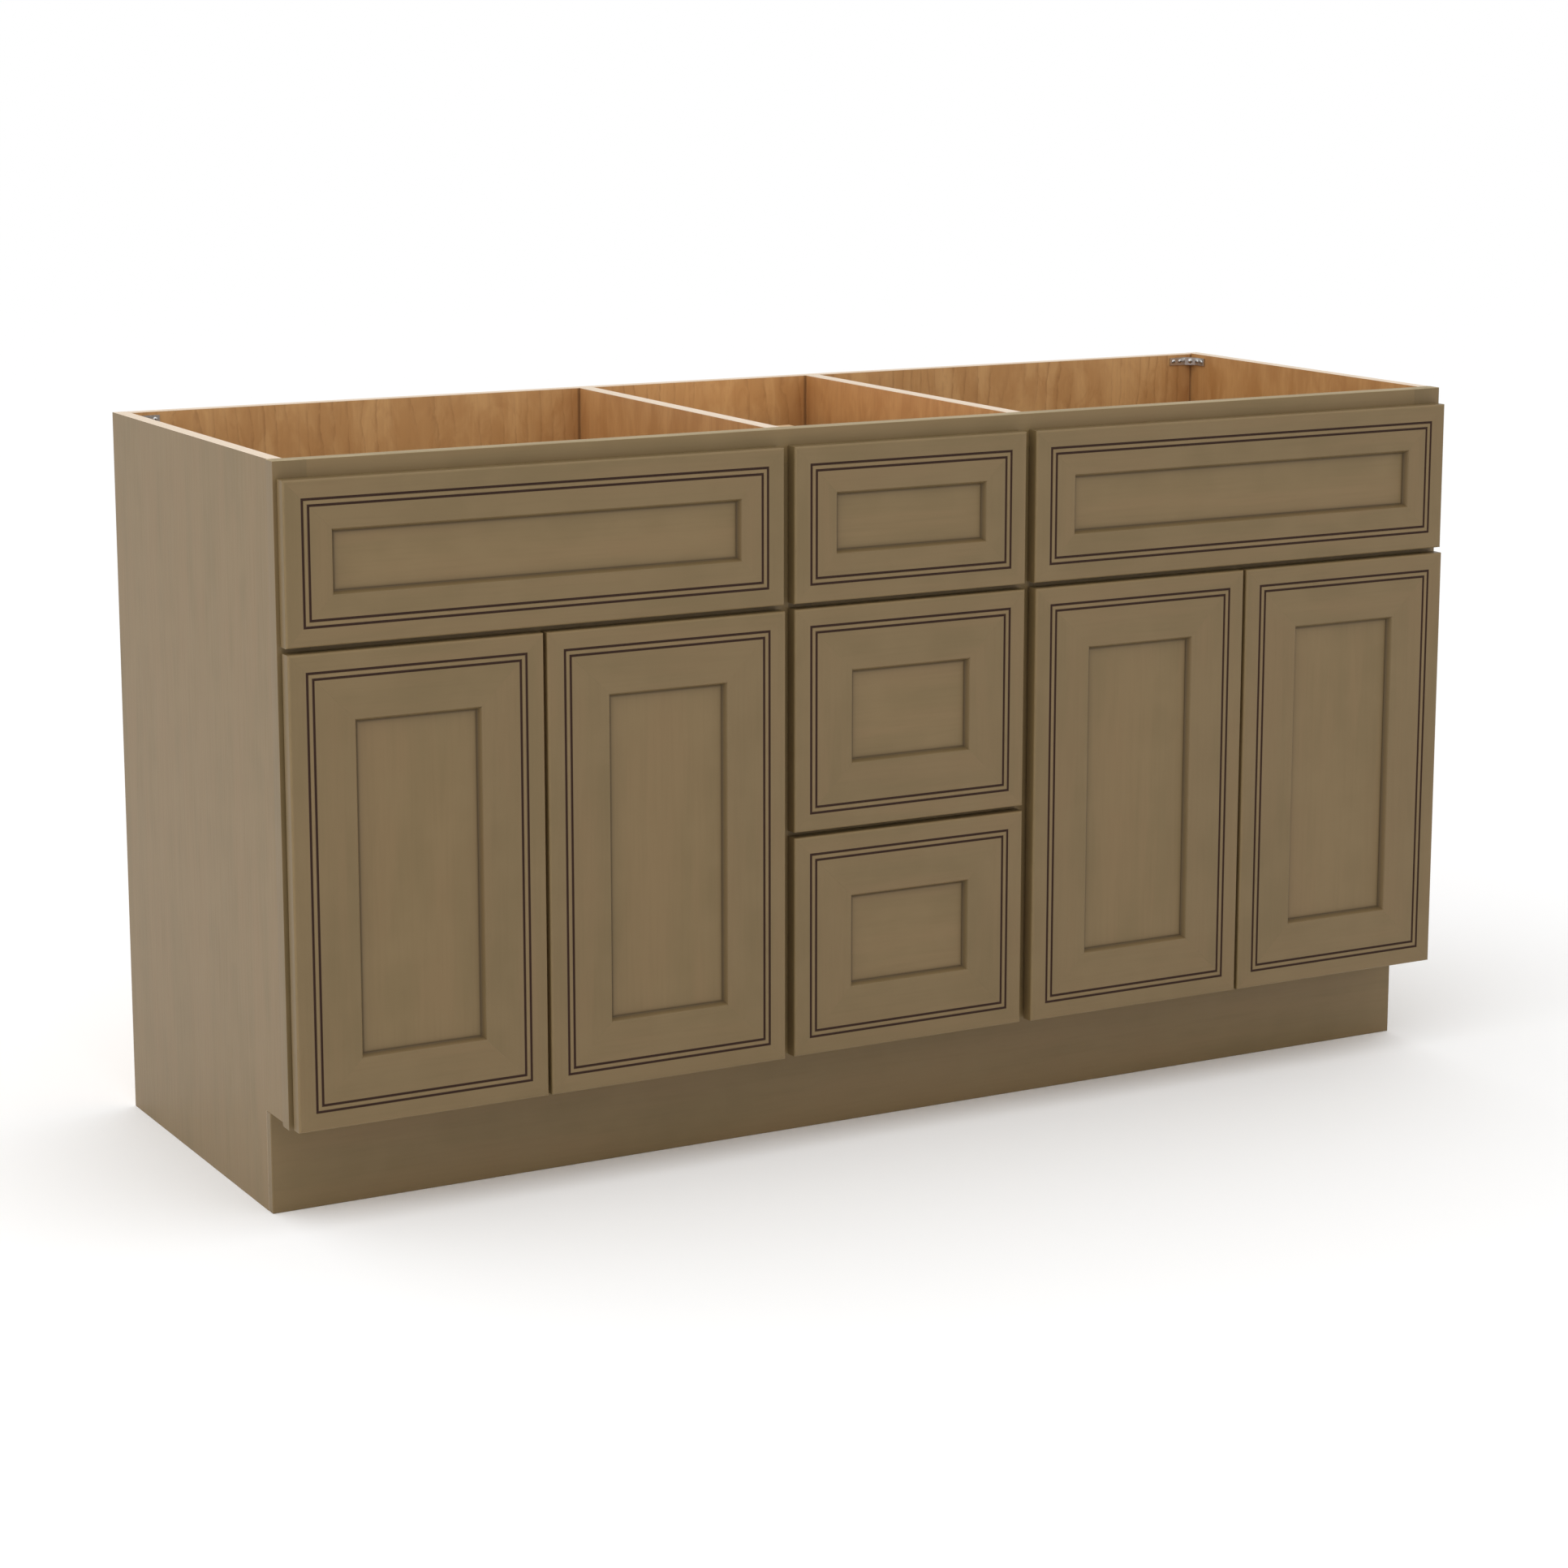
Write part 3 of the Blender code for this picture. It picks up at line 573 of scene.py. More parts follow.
def birch_look(g, axis):
    """Pale birch of the drawer boxes under clear lacquer."""
    broad = g.noise((axis, 0.15), (2.0, 8.0, 1.0), 30, 2, 0.5, 0.4)
    streak = g.noise((axis, 0.03), (6.0, 3.0, 9.0), 350, 3, 0.6)
    colour = g.mix(g.smooth(broad, 0.3, 0.7), (0.700, 0.510, 0.290), (0.760, 0.580, 0.360))
    colour = g.tinge(colour, g.smooth(streak, 0.45, 0.75), 0.25, (0.540, 0.360, 0.180))
    return colour, g.linear(streak, 0.12, 0.38), streak


def zinc_look(g):
    """Zinc plating: faint spangle, rolling marks and duller patches."""
    spangle = g.add("TexVoronoi", None, {"Vector": g.scaled(EVEN), "Scale": 700.0})
    tint = g.part_of(0, spangle.outputs["Color"])
    patch = g.noise(EVEN, (3.0, 3.0, 3.0), 90, 3, 0.6)
    colour = g.mix(g.linear(tint, 0.5, g.times(patch, 0.5)),
                   (0.600, 0.597, 0.585), (0.720, 0.717, 0.705))
    return colour, g.linear(patch, 0.10, 0.26), patch


# --- materials ---
def stained(name, axis, tint):
    g = Graph(name, LACQUER_GLOSS)
    return g.finish(stain_look(g, axis, tint), WOOD_RELIEF)


def frame_wood(name, axis, tint=PLAIN):
    """Stained face-frame wood with a bare maple back and a pale top edge, a painted highlight of the light
    from above.
    """
    g = Graph(name, LACQUER_GLOSS)
    across = 2 - axis
    back = g.math("GREATER_THAN", g.part_of(1, g.facing), 0.8)
    look = g.choose(back, stain_look(g, axis, tint), maple_look(g, axis, across, 0.5))
    # the top edge and the top of its eased corner get the painted highlight
    top = g.math("GREATER_THAN", g.part_of(2, g.place), CAD_BOX[1].z - FRAME_EASE)
    return g.finish(g.choose(top, look, painted_light_top_look(g, axis)), WOOD_RELIEF)


def side_sheet(name):
    """Side panel: stained outside, maple inside, raw plies on its edges."""
    g = Graph(name, SHEET_GLOSS)
    outward = g.times(g.part_of(0, g.facing), g.math("SIGN", g.part_of(0, g.place)))
    look = g.choose(g.math("LESS_THAN", outward, -0.5), ply_edge_look(g, 0),
                    maple_look(g, 2, 1, 0.25, (1.03, 0.99, 0.92)))
    look = g.choose(g.math("GREATER_THAN", outward, 0.5), look,
                    stain_look(g, 2, (1.08, 1.07, 1.06)))
    return g.finish(look, WOOD_RELIEF)


def veneered(name, through, grain, good_side, figure, tint=PLAIN, seams=()):
    """Sheet with maple on its good side (or both, if 0) and raw veneer on the other;
    through and grain are the axes of its thickness and its grain."""
    g = Graph(name)
    facing = g.part_of(through, g.facing)
    flat = g.math("GREATER_THAN", g.math("ABSOLUTE", facing), 0.8)
    across = 3 - through - grain
    face = maple_look(g, grain, across, figure, tint)
    # painted shade in the corners where boards meet the sheet
    if seams:
        face = paint_corner_shade(g, face, across, seams)
    if good_side:
        bare = g.math("LESS_THAN", g.times(facing, good_side), 0.0)
        face = g.choose(bare, face, raw_look(g, grain))
    return g.finish(g.choose(flat, ply_edge_look(g, through), face), WOOD_RELIEF)


def end_grain_look(g):
    """Sawn ends of the birch boards: darker, dense with pores."""
    pore = g.noise(EVEN, (2.0, 2.0, 2.0), 1400, 2, 0.6)
    ring = g.noise((2, 0.25), (7.0, 1.0, 4.0), 260, 2, 0.5)
    colour = g.mix(g.smooth(ring, 0.35, 0.65), (0.430, 0.285, 0.145), (0.520, 0.360, 0.195))
    colour = g.tinge(colour, g.smooth(pore, 0.5, 0.7), 0.5, (0.260, 0.160, 0.075))
    return colour, g.linear(pore, 0.2, 0.5), pore


def birch(name, axis):
    """Birch board along an axis, with end grain across it."""
    g = Graph(name)
    ends = g.math("GREATER_THAN", g.math("ABSOLUTE", g.part_of(axis, g.facing)), 0.8)
    return g.finish(g.choose(ends, birch_look(g, axis), end_grain_look(g)), BIRCH_RELIEF)


def zinc(name):
    g = Graph(name, metallic=1.0)
    return g.finish(zinc_look(g), FINE_RELIEF)


def dusty(name, metallic, scale, dark, light, roughness, relief):
    """A plain surface with fine dust on it."""
    g = Graph(name, metallic=metallic)
    dust = g.noise(EVEN, (0, 0, 0), scale)
    return g.finish((g.mix(dust, dark, light), g.linear(dust, 0.2, roughness), dust), relief)


# faces of the boards that stand against the back panel, from the middle of the cabinet; shade is painted
# beside them
BACK_SEAMS = (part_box("right_partition")[0].x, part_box("right_partition")[1].x,
              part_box("right_side_panel")[0].x)

STAIN_X = stained("stained_maple_horizontal", 0, (0.985, 0.985, 0.985))
STAIN_Z = stained("stained_maple_vertical", 2, (0.975, 0.975, 0.975))
PANEL_X = stained("stained_maple_panel_horizontal", 0, (1.065, 1.060, 1.060))
PANEL_Z = stained("stained_maple_panel_vertical", 2, (1.040, 1.035, 1.030))
# the rails are a tenth lighter than the stiles: painted light against the shadow that the fronts cast on
# them
FRAME_X = frame_wood("face_frame_rail_wood", 0, (1.10, 1.10, 1.08))
FRAME_Z = frame_wood("face_frame_stile_wood", 2)
SIDE = side_sheet("side_panel_plywood")
BACK = veneered("back_panel_plywood", 1, 2, -1, 1.0, (1.16, 1.19, 1.20), BACK_SEAMS)
DECK = veneered("bottom_panel_plywood", 2, 0, 1, 0.6)
PARTITION = veneered("partition_plywood", 0, 2, 0, 0.25, (1.04, 0.97, 0.91))
BIRCH_X = birch("birch_crosswise", 0)
BIRCH_Y = birch("birch_lengthwise", 1)
ZINC = zinc("zinc_plated_steel")
# the screws' near-black cross: painted shade of their recess
RECESS_SHADE = dusty("screw_recess_painted_shade", 1.0, 900, (0.05, 0.048, 0.045), (0.09, 0.086, 0.08), 0.5,
               FINEST_RELIEF)
RUBBER = dusty("bumper_rubber", 0.0, 500, (0.50, 0.49, 0.46), (0.62, 0.61, 0.58), 0.45,
               FINE_RELIEF)


def dress(node, mat):
    """Give a CAD node its material."""
    for slot in NODES[node].material_slots:
        slot.material = mat


def dress_cad():
    """Materials of the CAD nodes that no finer piece replaces."""
    for side, _ in SIDES:
        dress(side + "_side_panel", SIDE)
        dress(side + "_partition", PARTITION)
    dress("back_panel", BACK)
    dress("bottom_panel", DECK)
    dress("toe_kick_board", STAIN_X)
    for drawer in DRAWERS:
        dress(drawer + "_bottom", BIRCH_Y)
    for node in NODES:
        if node.endswith(("_slide", "_arm")):
            dress(node, ZINC)


# --- moulded fronts ---
def moulding(field):
    """Front of a frame member from its outer edge to the foot of the cove, as points
    (inset from the edge, depth behind the front, glaze and painted shade; below 0 the stain is rubbed)."""
    points, edge_steps, bead_steps, cove_steps = [], 6, 6, 10
    for step in range(edge_steps + 1):
        angle = pi / 2 * step / edge_steps
        points.append((EDGE_ROUND * (1 - cos(angle)), EDGE_ROUND * (1 - sin(angle)),
                       -EDGE_WEAR * sin(2 * angle)))
    points.append((FLAT_START, 0.0, 0.0))
    points += groove(BEAD_START)
    bead = BEAD_START + GROOVE_W
    for step in range(1, bead_steps):
        along = step / bead_steps
        points.append((bead + BEAD_W * along, BEAD_CROWN * (2 * along - 1) ** 2,
                       -BEAD_WEAR * sin(pi * along)))
    points += groove(bead + BEAD_W)
    points.append((field - COVE_LEAD, 0.0, 0.0))
    for step in range(cove_steps + 1):
        along = step / cove_steps
        drop = along * along * (3 - 2 * along)
        # glaze and painted shade grow down the cove towards its foot
        points.append((field + COVE_W * along, COVE_DEPTH * drop, COVE_GLAZE_AND_SHADE * along ** 1.5))
    return points


def groove(start):
    """A small round-bottomed groove, with glaze left in it."""
    points = [(start - GROOVE_BRIM, 0.0, 0.0)]
    for along, depth, glaze in GROOVE_ARC:
        points.append((start + GROOVE_W * along, GROOVE_DEPTH * depth, glaze))
    points.append((start + GROOVE_W + GROOVE_BRIM, 0.0, 0.0))
    return points


def member_section(field):
    """Closed cross-section of a frame member, with the groove for the panel's tongue."""
    lip = field + COVE_W
    bed = lip - PANEL_TONGUE - GAP
    behind = COVE_DEPTH + PANEL_T + 2 * GAP
    return moulding(field) + [
        (bed, COVE_DEPTH, 0.0), (bed, behind, 0.0), (lip, behind, 0.0), (lip, FRONT_T, 0.0),
        (BACK_EASE, FRONT_T, 0.0), (0.0, FRONT_T - BACK_EASE, 0.0)]


def rectangle(low, high, inset, y):
    """Corners of an upright rectangle, in turn from the lower left."""
    left, right = low.x + inset, high.x - inset
    bottom, top = low.z + inset, high.z - inset
    return [Vector(corner) for corner in ((left, y, bottom), (right, y, bottom),
                                          (right, y, top), (left, y, top))]


def add_mitred_frame(bm, low, high, field):
    """Four mitred members round a rectangle; material 0 lies along x and 1 along z."""
    section = member_section(field)
    corners = rectangle(low, high, 0.0, low.y)
    for i, start in enumerate(corners):
        end = corners[(i + 1) % 4]
        along = (end - start).normalized()
        inward = Vector((-along.z, 0, along.x))
        near, far = [], []
        for inset, depth, glaze in section:
            back = Vector((0, depth, 0)) + inward * inset
            near.append(add_vert(bm, start + back + along * (inset + MITRE_GAP), glaze))
            far.append(add_vert(bm, end + back - along * (inset + MITRE_GAP), glaze))
        material = i % 2
        bridge(bm, near, far, material)
        add_face(bm, near, material)
        add_face(bm, far, material)


def add_panel(bm, low, high, field):
    """Flat panel whose tongue sits in the frame; glaze and painted shade fade in from its visible edge."""
    edge = field + COVE_W
    front = low.y + COVE_DEPTH + GAP
    rings = []
    for past, glaze in PANEL_GLAZE_AND_SHADE:
        corners = rectangle(low, high, edge + past, front)
        rings.append([add_vert(bm, corner, glaze) for corner in corners])
    back = [add_vert(bm, v.co + Vector((0, PANEL_T, 0))) for v in rings[0]]
    bridge(bm, back, rings[0], 2)
    for first, second in zip(rings, rings[1:]):
        bridge(bm, first, second, 2)
    add_face(bm, rings[-1], 2)
    add_face(bm, back, 2)


def make_solid_front(node, body):
    """False front or drawer front: frame and panel in one piece, grain across."""
    low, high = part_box(node)
    field = NARROW_FIELD if high.z - low.z < SHALLOW_FRONT else WIDE_FIELD
    bm = new_bmesh()
    add_mitred_frame(bm, low, high, field)
    add_panel(bm, low, high, field)
    put(node + "_moulded", bm, [STAIN_X, STAIN_Z, PANEL_X], body, [node])


def make_door(door, hinges):
    """Mitred frame with bores for the hinge cups, and an upright-grained panel."""
    low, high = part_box(door + "_frame")
    bm = new_bmesh()
    add_mitred_frame(bm, low, high, WIDE_FIELD)
    frame_piece = put(door + "_frame_moulded", bm, [STAIN_X, STAIN_Z], door,
                      [door + "_frame"])
    bm = new_bmesh()
    add_panel(bm, low, high, WIDE_FIELD)
    put(door + "_panel_flat", bm, [STAIN_X, STAIN_Z, PANEL_Z], door,
        [door + "_panel"])
    bore(frame_piece, hinges)


def bore(piece, hinges):
    """Cut the hinge cups' bores into a door frame and keep the result as its mesh."""
    tool_bm = bmesh.new()
    for hinge in hinges:
        turn = Matrix.Rotation(radians(90), 4, "X")
        middle = hinge.cup_high.y - CUP_DEPTH / 2
        place = Matrix.Translation((hinge.x, middle, hinge.z))
        bmesh.ops.create_cone(tool_bm, cap_ends=True, segments=48, radius1=CUP_R + GAP,
                              radius2=CUP_R + GAP, depth=CUP_DEPTH + 2 * BORE_PAST,
                              matrix=place @ turn)
    tool_mesh = bpy.data.meshes.new("bore_tool")
    tool_bm.to_mesh(tool_mesh)
    tool_bm.free()
    tool = new_object("bore_tool", tool_mesh)
    cut = piece.modifiers.new("bores", "BOOLEAN")
    cut.operation = "DIFFERENCE"
    cut.solver = "EXACT"
    cut.object = tool
    piece.modifiers.move(piece.modifiers.find("bores"), 0)
    bpy.context.view_layer.update()
    with bpy.context.temp_override(object=piece, active_object=piece):
        bpy.ops.object.modifier_apply(modifier="bores")
    bpy.data.objects.remove(tool, do_unlink=True)


# --- face frame ---
def make_member(node, mat, reach=(0, 0, 0), foot=False):
    """A member of the face frame, with hairline joints and the frame's outline eased."""
    low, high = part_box(node)
    low, high = low - Vector(reach), high + Vector(reach)
    part = bmesh.new()
    size = Matrix.Diagonal((*(high - low), 1.0))
    bmesh.ops.create_cube(part, size=1.0, matrix=Matrix.Translation((low + high) / 2) @ size)
    if foot:
        lower_back = [e for e in part.edges
                      if all(v.co.z < low.z + GAP and v.co.y > high.y - GAP for v in e.verts)]
        bmesh.ops.bevel(part, geom=lower_back, offset=FOOT_ROUND, segments=5, profile=0.5,
                        affect="EDGES")
    outline = [e for e in part.edges if on_outline(e.verts)]
    bmesh.ops.bevel(part, geom=outline, offset=FRAME_EASE, segments=2, profile=0.5,
                    affect="EDGES")
    bm = new_bmesh()
    join(bm, part)
    put(node + "_eased", bm, [mat], "cabinet", [node])


def on_outline(verts):
    """True for an edge on the outline of the whole face frame, not across a joint."""
    first, second = (v.co for v in verts)
    left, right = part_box("left_frame_stile")[0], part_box("right_frame_stile")[1]
    shared = 0
    for axis, rim in ((0, left.x), (0, right.x), (2, left.z), (2, right.z)):
        if abs(first[axis] - rim) < GAP and abs(second[axis] - rim) < GAP:
            shared += 1
    runs_back = abs(first.y - second.y) > abs(first.x - second.x) + abs(first.z - second.z)
    return shared > 1 if runs_back else shared > 0


def make_face_frame():
    """Rails and mullions reach towards their neighbours, which leaves a hairline."""
    across, upright = (FRAME_REACH, 0, 0), (0, 0, FRAME_REACH)
    for rail in ("top_rail", "bottom_rail", "upper_drawer_rail", "lower_drawer_rail"):
        make_member(rail, FRAME_X, across)
    for side, _ in SIDES:
        make_member(side + "_frame_stile", FRAME_Z, foot=True)
        make_member(side + "_mullion", FRAME_Z, upright)
        make_member(side + "_sink_rail", FRAME_X, across)


# --- hinges ---
class Hinge:
    """One hinge's places, read from its CAD nodes; depths count from the door's back."""

    def __init__(self, door, level, inward):
        self.door, self.inward = door, inward
        self.name = door + "_" + level + "_hinge"
        self.cup_low, self.cup_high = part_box(self.name + "_cup")
        self.arm_low, self.arm_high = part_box(self.name + "_arm")
        self.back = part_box(door + "_frame")[1].y
        self.x = (self.cup_low.x + self.cup_high.x) / 2
        self.z = (self.cup_low.z + self.cup_high.z) / 2

    def at(self, across, depth, up=0.0):
        """A place by its distance from the door's hinge edge and its depth."""
        return Vector((self.x + self.inward * (across - CUP_INSET), self.back - depth,
                       self.z + up))


def make_cup(hinge):
    """Turned steel cup with a lip, two ears with screws, and the pins of its links."""
    out = hinge.cup_high.y - hinge.back
    inner = CUP_R - CUP_WALL
    rim = CUP_R + CUP_LIP
    floor = CUP_WALL - CUP_DEPTH
    bowl = [(0, floor), (inner - CUP_HOLLOW, floor), (inner, floor + CUP_HOLLOW),
            (inner, out - CUP_SOFT), (inner + CUP_SOFT, out), (rim - CUP_SOFT, out),
            (rim, out - CUP_SOFT), (rim, GAP), (CUP_R, GAP),
            (CUP_R, CUP_CHAMFER - CUP_DEPTH), (CUP_R - CUP_CHAMFER, -CUP_DEPTH),
            (0, -CUP_DEPTH)]
    bm = new_bmesh()
    x, z, seat = hinge.x, hinge.z, hinge.back + GAP
    add_turned(bm, bowl, (x, hinge.back, z), (0, 1, 0), 48)
    reach = (hinge.cup_high.z - hinge.cup_low.z) / 2
    steps = 8
    for up in (1, -1):
        outline = []
        for step in range(steps + 1):
            angle = pi / 2 - EAR_ROOT + 2 * EAR_ROOT * step / steps
            root = rim + EAR_GAP
            outline.append((x + root * cos(angle), seat, z + up * root * sin(angle)))
        for step in range(steps + 1):
            angle = pi - pi * step / steps
            outline.append((x + EAR_R * cos(angle), seat,
                            z + up * (reach - EAR_R + EAR_R * sin(angle))))
        add_prism(bm, outline, (0, EAR_T, 0))
        add_screw(bm, (x, seat + EAR_T, z + up * (reach - EAR_SCREW_IN)), (0, 1, 0),
                  CHANNEL_SCREW)
    for _, in_cup, _ in LINKS:
        add_pin(bm, hinge.at(in_cup, LINK_DEEP), CUP_PIN_REACH)
    put_steel(hinge.name + "_cup_turned", bm, hinge.door, [hinge.name + "_cup"])


def add_pin(bm, place, reach):
    """An upright pin with eased ends."""
    shoulder = PIN_R - PIN_EASE
    pin = [(0, -reach), (shoulder, -reach), (PIN_R, PIN_EASE - reach),
           (PIN_R, reach - PIN_EASE), (shoulder, reach), (0, reach)]
    add_turned(bm, pin, place, (0, 0, 1), 12)


def make_arm_fittings(hinge):
    """On the arm: its two screws and adjuster, and the lugs and pins that hold the links."""
    inward, z = hinge.inward, hinge.z
    plate_x = (hinge.arm_high.x if inward > 0 else hinge.arm_low.x) + inward * SEAT_GAP
    back = hinge.arm_high.y
    bm = new_bmesh()
    for up in (-ARM_SCREW_UP, ARM_SCREW_UP):
        add_screw(bm, (plate_x, back - ARM_SCREW_IN, z + up), (inward, 0, 0), ARM_SCREW)
    add_screw(bm, (plate_x, back - ADJUSTER_IN, z), (inward, 0, 0), ADJUSTER_SCREW)
    lug = [(LUG_NEAR, LUG_ROOT), (LUG_FAR, LUG_ROOT)]
    lug += [(across, LINK_SHALLOW + past) for across, past in LUG_NOSE]
    for up in (-LUG_OUT, LUG_OUT - LUG_T):
        add_prism(bm, [hinge.at(across, depth, up) for across, depth in lug], (0, 0, LUG_T))
    for on_arm, _, _ in LINKS:
        add_pin(bm, hinge.at(on_arm, LINK_SHALLOW), LUG_OUT + PIN_PAST)
    put_steel(hinge.name + "_arm_fittings", bm, "cabinet")


def make_links(hinge):
    """The two links between the arm and the cup, which swing out as the door opens."""
    bm = new_bmesh()
    half, steps = LINK_T / 2, 20
    for on_arm, in_cup, width in LINKS:
        rings = []
        for step in range(steps + 1):
            along = step / steps
            across = on_arm + (in_cup - on_arm) * along
            depth = LINK_SHALLOW + (LINK_DEEP - LINK_SHALLOW) * along
            ring = [(across - half, -width), (across + half, -width), (across + half, width),
                    (across - half, width)]
            rings.append([add_vert(bm, hinge.at(u, depth, up)) for u, up in ring])
        for first, second in zip(rings, rings[1:]):
            bridge(bm, first, second)
        add_face(bm, rings[0])
        add_face(bm, rings[-1])
        for across, depth in ((on_arm, LINK_SHALLOW), (in_cup, LINK_DEEP)):
            bore_r, end = LINK_T * 0.55, width + KNUCKLE_LIP
            knuckle = [(bore_r, -end), (LINK_T, -end), (LINK_T, end), (bore_r, end)]
            add_tube(bm, knuckle, hinge.at(across, depth))
    piece = put(hinge.name + "_links", bm, [ZINC], None)
    middle = (LINKS[0][0] + LINKS[1][0]) / 2
    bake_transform(piece, "cabinet", hinge.door, start=hinge.at(middle, LINK_SHALLOW + 0.0010),
             end=hinge.at(middle, LINK_DEEP - 0.0010))


def make_bumpers(door, inward):
    """Soft pads on the back of the door, at the corners away from the hinges."""
    low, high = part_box(door + "_frame")
    x = (high.x if inward > 0 else low.x) - inward * BUMPER_INSET
    bm = new_bmesh()
    for z in (low.z + BUMPER_INSET, high.z - BUMPER_INSET):
        add_turned(bm, BUMPER_PAD, (x, high.y + SEAT_GAP, z), (0, 1, 0), 24)
    put(door + "_bumpers", bm, [RUBBER], door)


# --- corner brackets ---
def make_bracket(side, sign):
    """Bent plate across the corner with a pressed rib, and two screws in each leg."""
    node = "rear_" + side + "_corner_bracket"
    low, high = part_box(node)
    corner = Vector((high.x if sign > 0 else low.x, high.y, low.z))
    long_leg, short_leg = high.x - low.x, high.y - low.y
    height = high.z - low.z
    thick, web = BRACKET_T, BRACKET_WEB

    def at(along, out, up=0.0):
        return corner + Vector((-sign * along, -out, up))

    bm = new_bmesh()
    plan = [(web, GAP), (long_leg, GAP), (long_leg, thick), (web + thick * 0.5, thick),
            (thick, web + thick * 0.5), (thick, short_leg), (0.0, short_leg), (0.0, web),
            (web * 0.45, web * 0.45)]
    add_prism(bm, [at(u, v) for u, v in plan], (0, 0, height))
    rib = bmesh.new()
    bmesh.ops.create_uvsphere(rib, u_segments=24, v_segments=12, radius=1.0)
    middle = (web + thick) / 2
    turn = Matrix.Rotation(radians(45) * sign, 4, "Z")
    size = Matrix.Diagonal((*BRACKET_RIB, 1.0))
    place = Matrix.Translation(at(middle, middle, height * 0.55))
    bmesh.ops.transform(rib, matrix=place @ turn @ size, verts=rib.verts)
    join(bm, rib)
    for along in LONG_LEG_SCREWS:
        add_screw(bm, at(along, thick, height / 2), (0, -1, 0), BRACKET_SCREW)
    for out in SHORT_LEG_SCREWS:
        add_screw(bm, at(thick, out, height / 2), (-sign, 0, 0), BRACKET_SCREW)
    put_steel(node + "_pressed", bm, "cabinet", [node])


# --- drawers ---
def add_grooved_board(bm, low, high, inward, through, material):
    """One wall of the box from low to high, between the walls across it, with a groove
    on its inner side for the drawer's bottom."""
    run_axis = 1 - through
    start, end = low[run_axis] + DRAWER_T, high[run_axis] - DRAWER_T
    outer = low[through] if inward > 0 else high[through]
    inner = outer + inward * DRAWER_T
    bed = inner - inward * (DRAWER_GROOVE + GAP)
    floor = low.z + DRAWER_BOTTOM_LIFT - GAP
    roof = floor + DRAWER_BOTTOM_T + 2 * GAP
    ease = BOARD_EASE
    section = [(outer, low.z + ease), (outer + inward * ease, low.z), (inner, low.z),
               (inner, floor), (bed, floor), (bed, roof), (inner, roof), (inner, high.z - ease),
               (inner - inward * ease, high.z), (outer + inward * ease, high.z),
               (outer, high.z - ease)]
    outline = []
    for across, z in section:
        spot = Vector((0, 0, z))
        spot[through] = across
        spot[run_axis] = start
        outline.append(spot)
    travel = Vector((0, 0, 0))
    travel[run_axis] = end - start
    add_prism(bm, outline, travel, material)


def add_dovetails(bm, low, high, end, inward, sign):
    """Tails of a side board between pins of the end board, at one corner."""
    height = high.z - low.z
    count = round(height / DOVETAIL_PITCH)
    pitch = height / count
    wide = pitch * TAIL_SHARE
    narrow = wide - DRAWER_T * DOVETAIL_SLOPE
    outer = high.x if sign > 0 else low.x
    travel = (-sign * DRAWER_T, 0, 0)
    far = end + inward * DRAWER_T
    for i in range(count):
        z = low.z + pitch * (i + 0.5)
        tail = [(outer, end, z - wide), (outer, end, z + wide), (outer, far, z + narrow),
                (outer, far, z - narrow)]
        add_prism(bm, tail, travel, 1)
    cut_wide, cut_narrow = wide + TAIL_SLACK, narrow + TAIL_SLACK
    for i in range(count + 1):
        z = low.z + pitch * i
        bottom, top = max(z - pitch / 2, low.z), min(z + pitch / 2, high.z)
        below, above = i > 0, i < count
        pin = [(outer, end, bottom + cut_wide * below), (outer, end, top - cut_wide * above),
               (outer, far, top - cut_narrow * above), (outer, far, bottom + cut_narrow * below)]
        add_prism(bm, pin, travel, 0)


def make_drawer_box(drawer):
    """Four grooved boards dovetailed at the corners, with the front's fixing screws."""
    low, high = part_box(drawer + "_box")
    bm = new_bmesh()
    for inward in (1, -1):
        add_grooved_board(bm, low, high, inward, 0, 1)
        add_dovetails(bm, low, high, low.y, 1, -inward)
        add_dovetails(bm, low, high, high.y, -1, -inward)
    for inward in (1, -1):
        add_grooved_board(bm, low, high, inward, 1, 0)
    put(drawer + "_box_dovetailed", bm, [BIRCH_X, BIRCH_Y], drawer, [drawer + "_box"])
    bm = new_bmesh()
    middle = (low.z + high.z) / 2 + FRONT_SCREW_LIFT
    for x in (-FRONT_SCREW_X, FRONT_SCREW_X):
        for up in (-FRONT_SCREW_Z, FRONT_SCREW_Z):
            add_screw(bm, (x, low.y + DRAWER_T, middle + up), (0, 1, 0), FRONT_SCREW)
    put_steel(drawer + "_front_screws", bm, drawer)


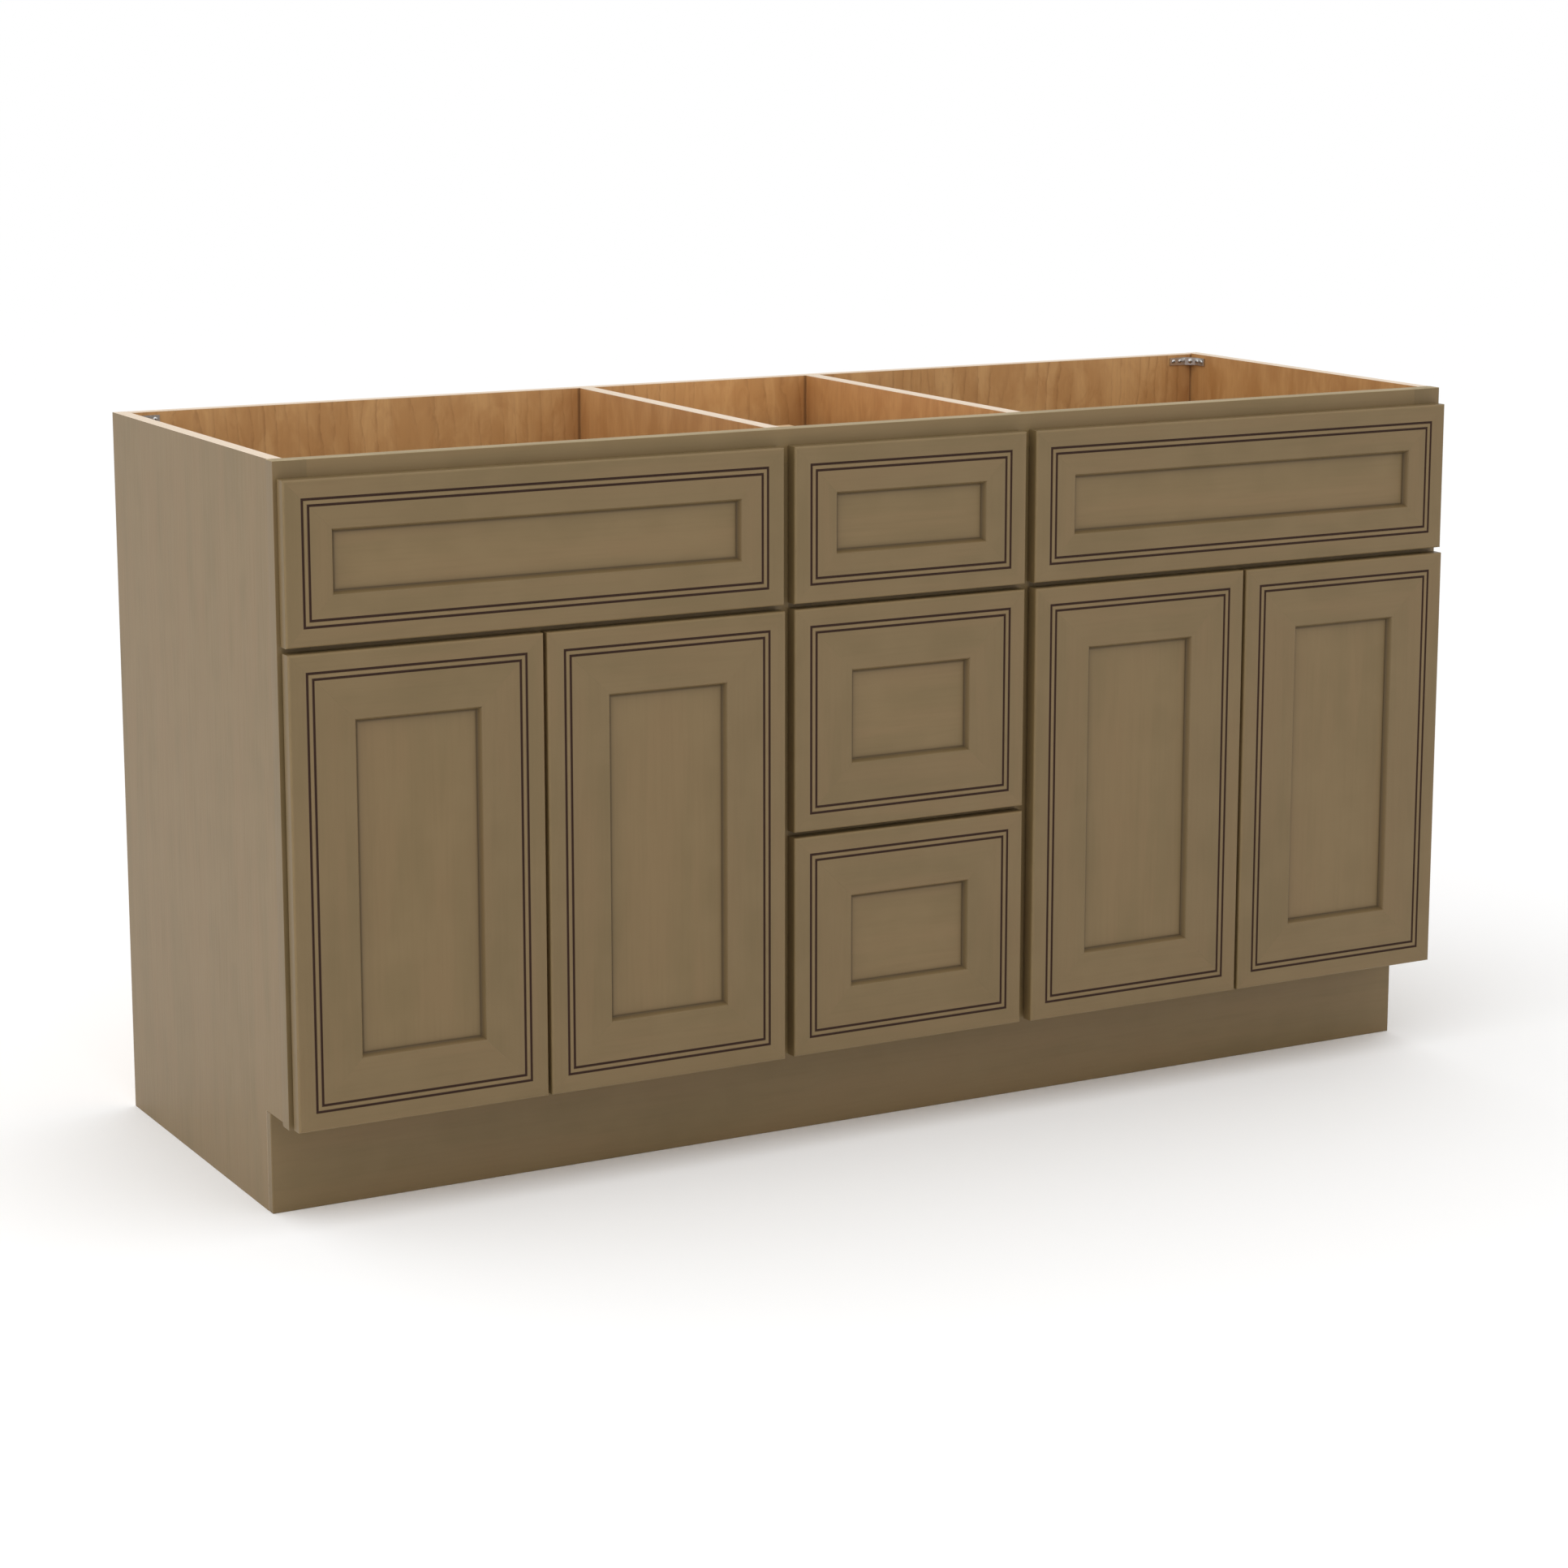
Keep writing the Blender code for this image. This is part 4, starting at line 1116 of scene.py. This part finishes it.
def make_slide_member(drawer, side, sign):
    """The channel on the drawer's side, which runs inside the fixed one."""
    box_low, box_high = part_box(drawer + "_box")
    low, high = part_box(drawer + "_" + side + "_slide")
    against = (box_high.x if sign > 0 else box_low.x) + sign * MEMBER_GAP
    bottom, top = low.z + MEMBER_INSET, high.z - MEMBER_INSET
    front = box_low.y + MEMBER_BACK
    thick, flange = MEMBER_T, MEMBER_FLANGE
    section = [(0, bottom), (flange, bottom), (flange, bottom + thick), (thick, bottom + thick),
               (thick, top - thick), (flange, top - thick), (flange, top), (0, top)]
    bm = new_bmesh()
    outline = [(against + sign * u, front, z) for u, z in section]
    add_prism(bm, outline, (0, MEMBER_LENGTH, 0))
    for along in MEMBER_SCREWS:
        place = (against + sign * thick, front + along, (bottom + top) / 2)
        add_screw(bm, place, (sign, 0, 0), CHANNEL_SCREW)
    put_steel(drawer + "_" + side + "_slide_member", bm, drawer)
    bm = new_bmesh()
    web = (low.x if sign > 0 else high.x) + sign * SLIDE_LIP
    for along in SLIDE_SCREWS:
        add_screw(bm, (web, low.y + along, (low.z + high.z) / 2), (-sign, 0, 0), SLIDE_SCREW)
    put_steel(drawer + "_" + side + "_slide_screws", bm, "cabinet")


make_face_frame()
for side, sign in SIDES:
    make_solid_front(side + "_false_front", "cabinet")
    make_bracket(side, sign)
for drawer in DRAWERS:
    make_solid_front(drawer + "_front", drawer)
    make_drawer_box(drawer)
    for side, sign in SIDES:
        make_slide_member(drawer, side, sign)
for door, inward in DOORS:
    hinges = [Hinge(door, level, inward) for level in ("upper", "lower")]
    make_door(door, hinges)
    make_bumpers(door, inward)
    for hinge in hinges:
        make_cup(hinge)
        make_arm_fittings(hinge)
        make_links(hinge)
dress_cad()


# --- floor, light and camera ---
FLOOR_HALF = 40.0
WHITE = (1.0, 1.0, 1.0, 1.0)
# softboxes: name, place, the point they face, width, watts
SOFTBOXES = (("key", (-0.6, -1.4, 3.2), (0, 0, 0.5), 2.4, 15.0),
             ("side", (-3.4, -0.5, 1.3), (-0.7, 0, 0.4), 2.0, 14.0))
CAMERA_PLACE = (-2.1256, -3.8592, 1.3133)
CAMERA_TILT = radians(10.665)  # down from level
CAMERA_TURN = radians(28.603)  # to the right of looking straight at the doors
LENS_MM = 85.09
SENSOR_MM = 36.0
LENS_SHIFT = -0.06


def make_floor():
    mesh = bpy.data.meshes.new("floor")
    corners = [(x * FLOOR_HALF, y * FLOOR_HALF, 0.0)
               for x, y in ((-1, -1), (1, -1), (1, 1), (-1, 1))]
    mesh.from_pydata(corners, [], [(0, 1, 2, 3)])
    mat = bpy.data.materials.new("floor_white")
    mat.use_nodes = True
    shader = mat.node_tree.nodes["Principled BSDF"]
    shader.inputs["Base Color"].default_value = WHITE
    shader.inputs["Roughness"].default_value = 1.0
    shader.inputs["Specular IOR Level"].default_value = 0.0
    mesh.materials.append(mat)
    new_object("floor", mesh)


def add_softbox(name, place, aim, size, energy):
    lamp = bpy.data.lights.new(name, "AREA")
    lamp.shape = "SQUARE"
    lamp.size = size
    lamp.energy = energy
    softbox = new_object(name, lamp)
    softbox.location = place
    softbox.rotation_euler = (Vector(aim) - Vector(place)).to_track_quat("-Z", "Y").to_euler()


def make_light():
    """A white room, a softbox high in front and one on the left."""
    world = bpy.data.worlds.new("studio")
    bpy.context.scene.world = world
    world.use_nodes = True
    sky = world.node_tree.nodes["Background"]
    sky.inputs["Color"].default_value = WHITE
    sky.inputs["Strength"].default_value = 1.0
    for softbox in SOFTBOXES:
        add_softbox(*softbox)


def make_camera():
    """Seen from the left and above, with the verticals nearly straight."""
    lens = bpy.data.cameras.new("camera")
    lens.lens = LENS_MM
    lens.sensor_width = SENSOR_MM
    lens.shift_y = LENS_SHIFT
    camera = new_object("camera", lens)
    camera.location = CAMERA_PLACE
    camera.rotation_euler = (pi / 2 - CAMERA_TILT, 0.0, -CAMERA_TURN)
    bpy.context.scene.camera = camera


make_floor()
make_light()
make_camera()
bpy.context.scene.view_settings.view_transform = "Standard"
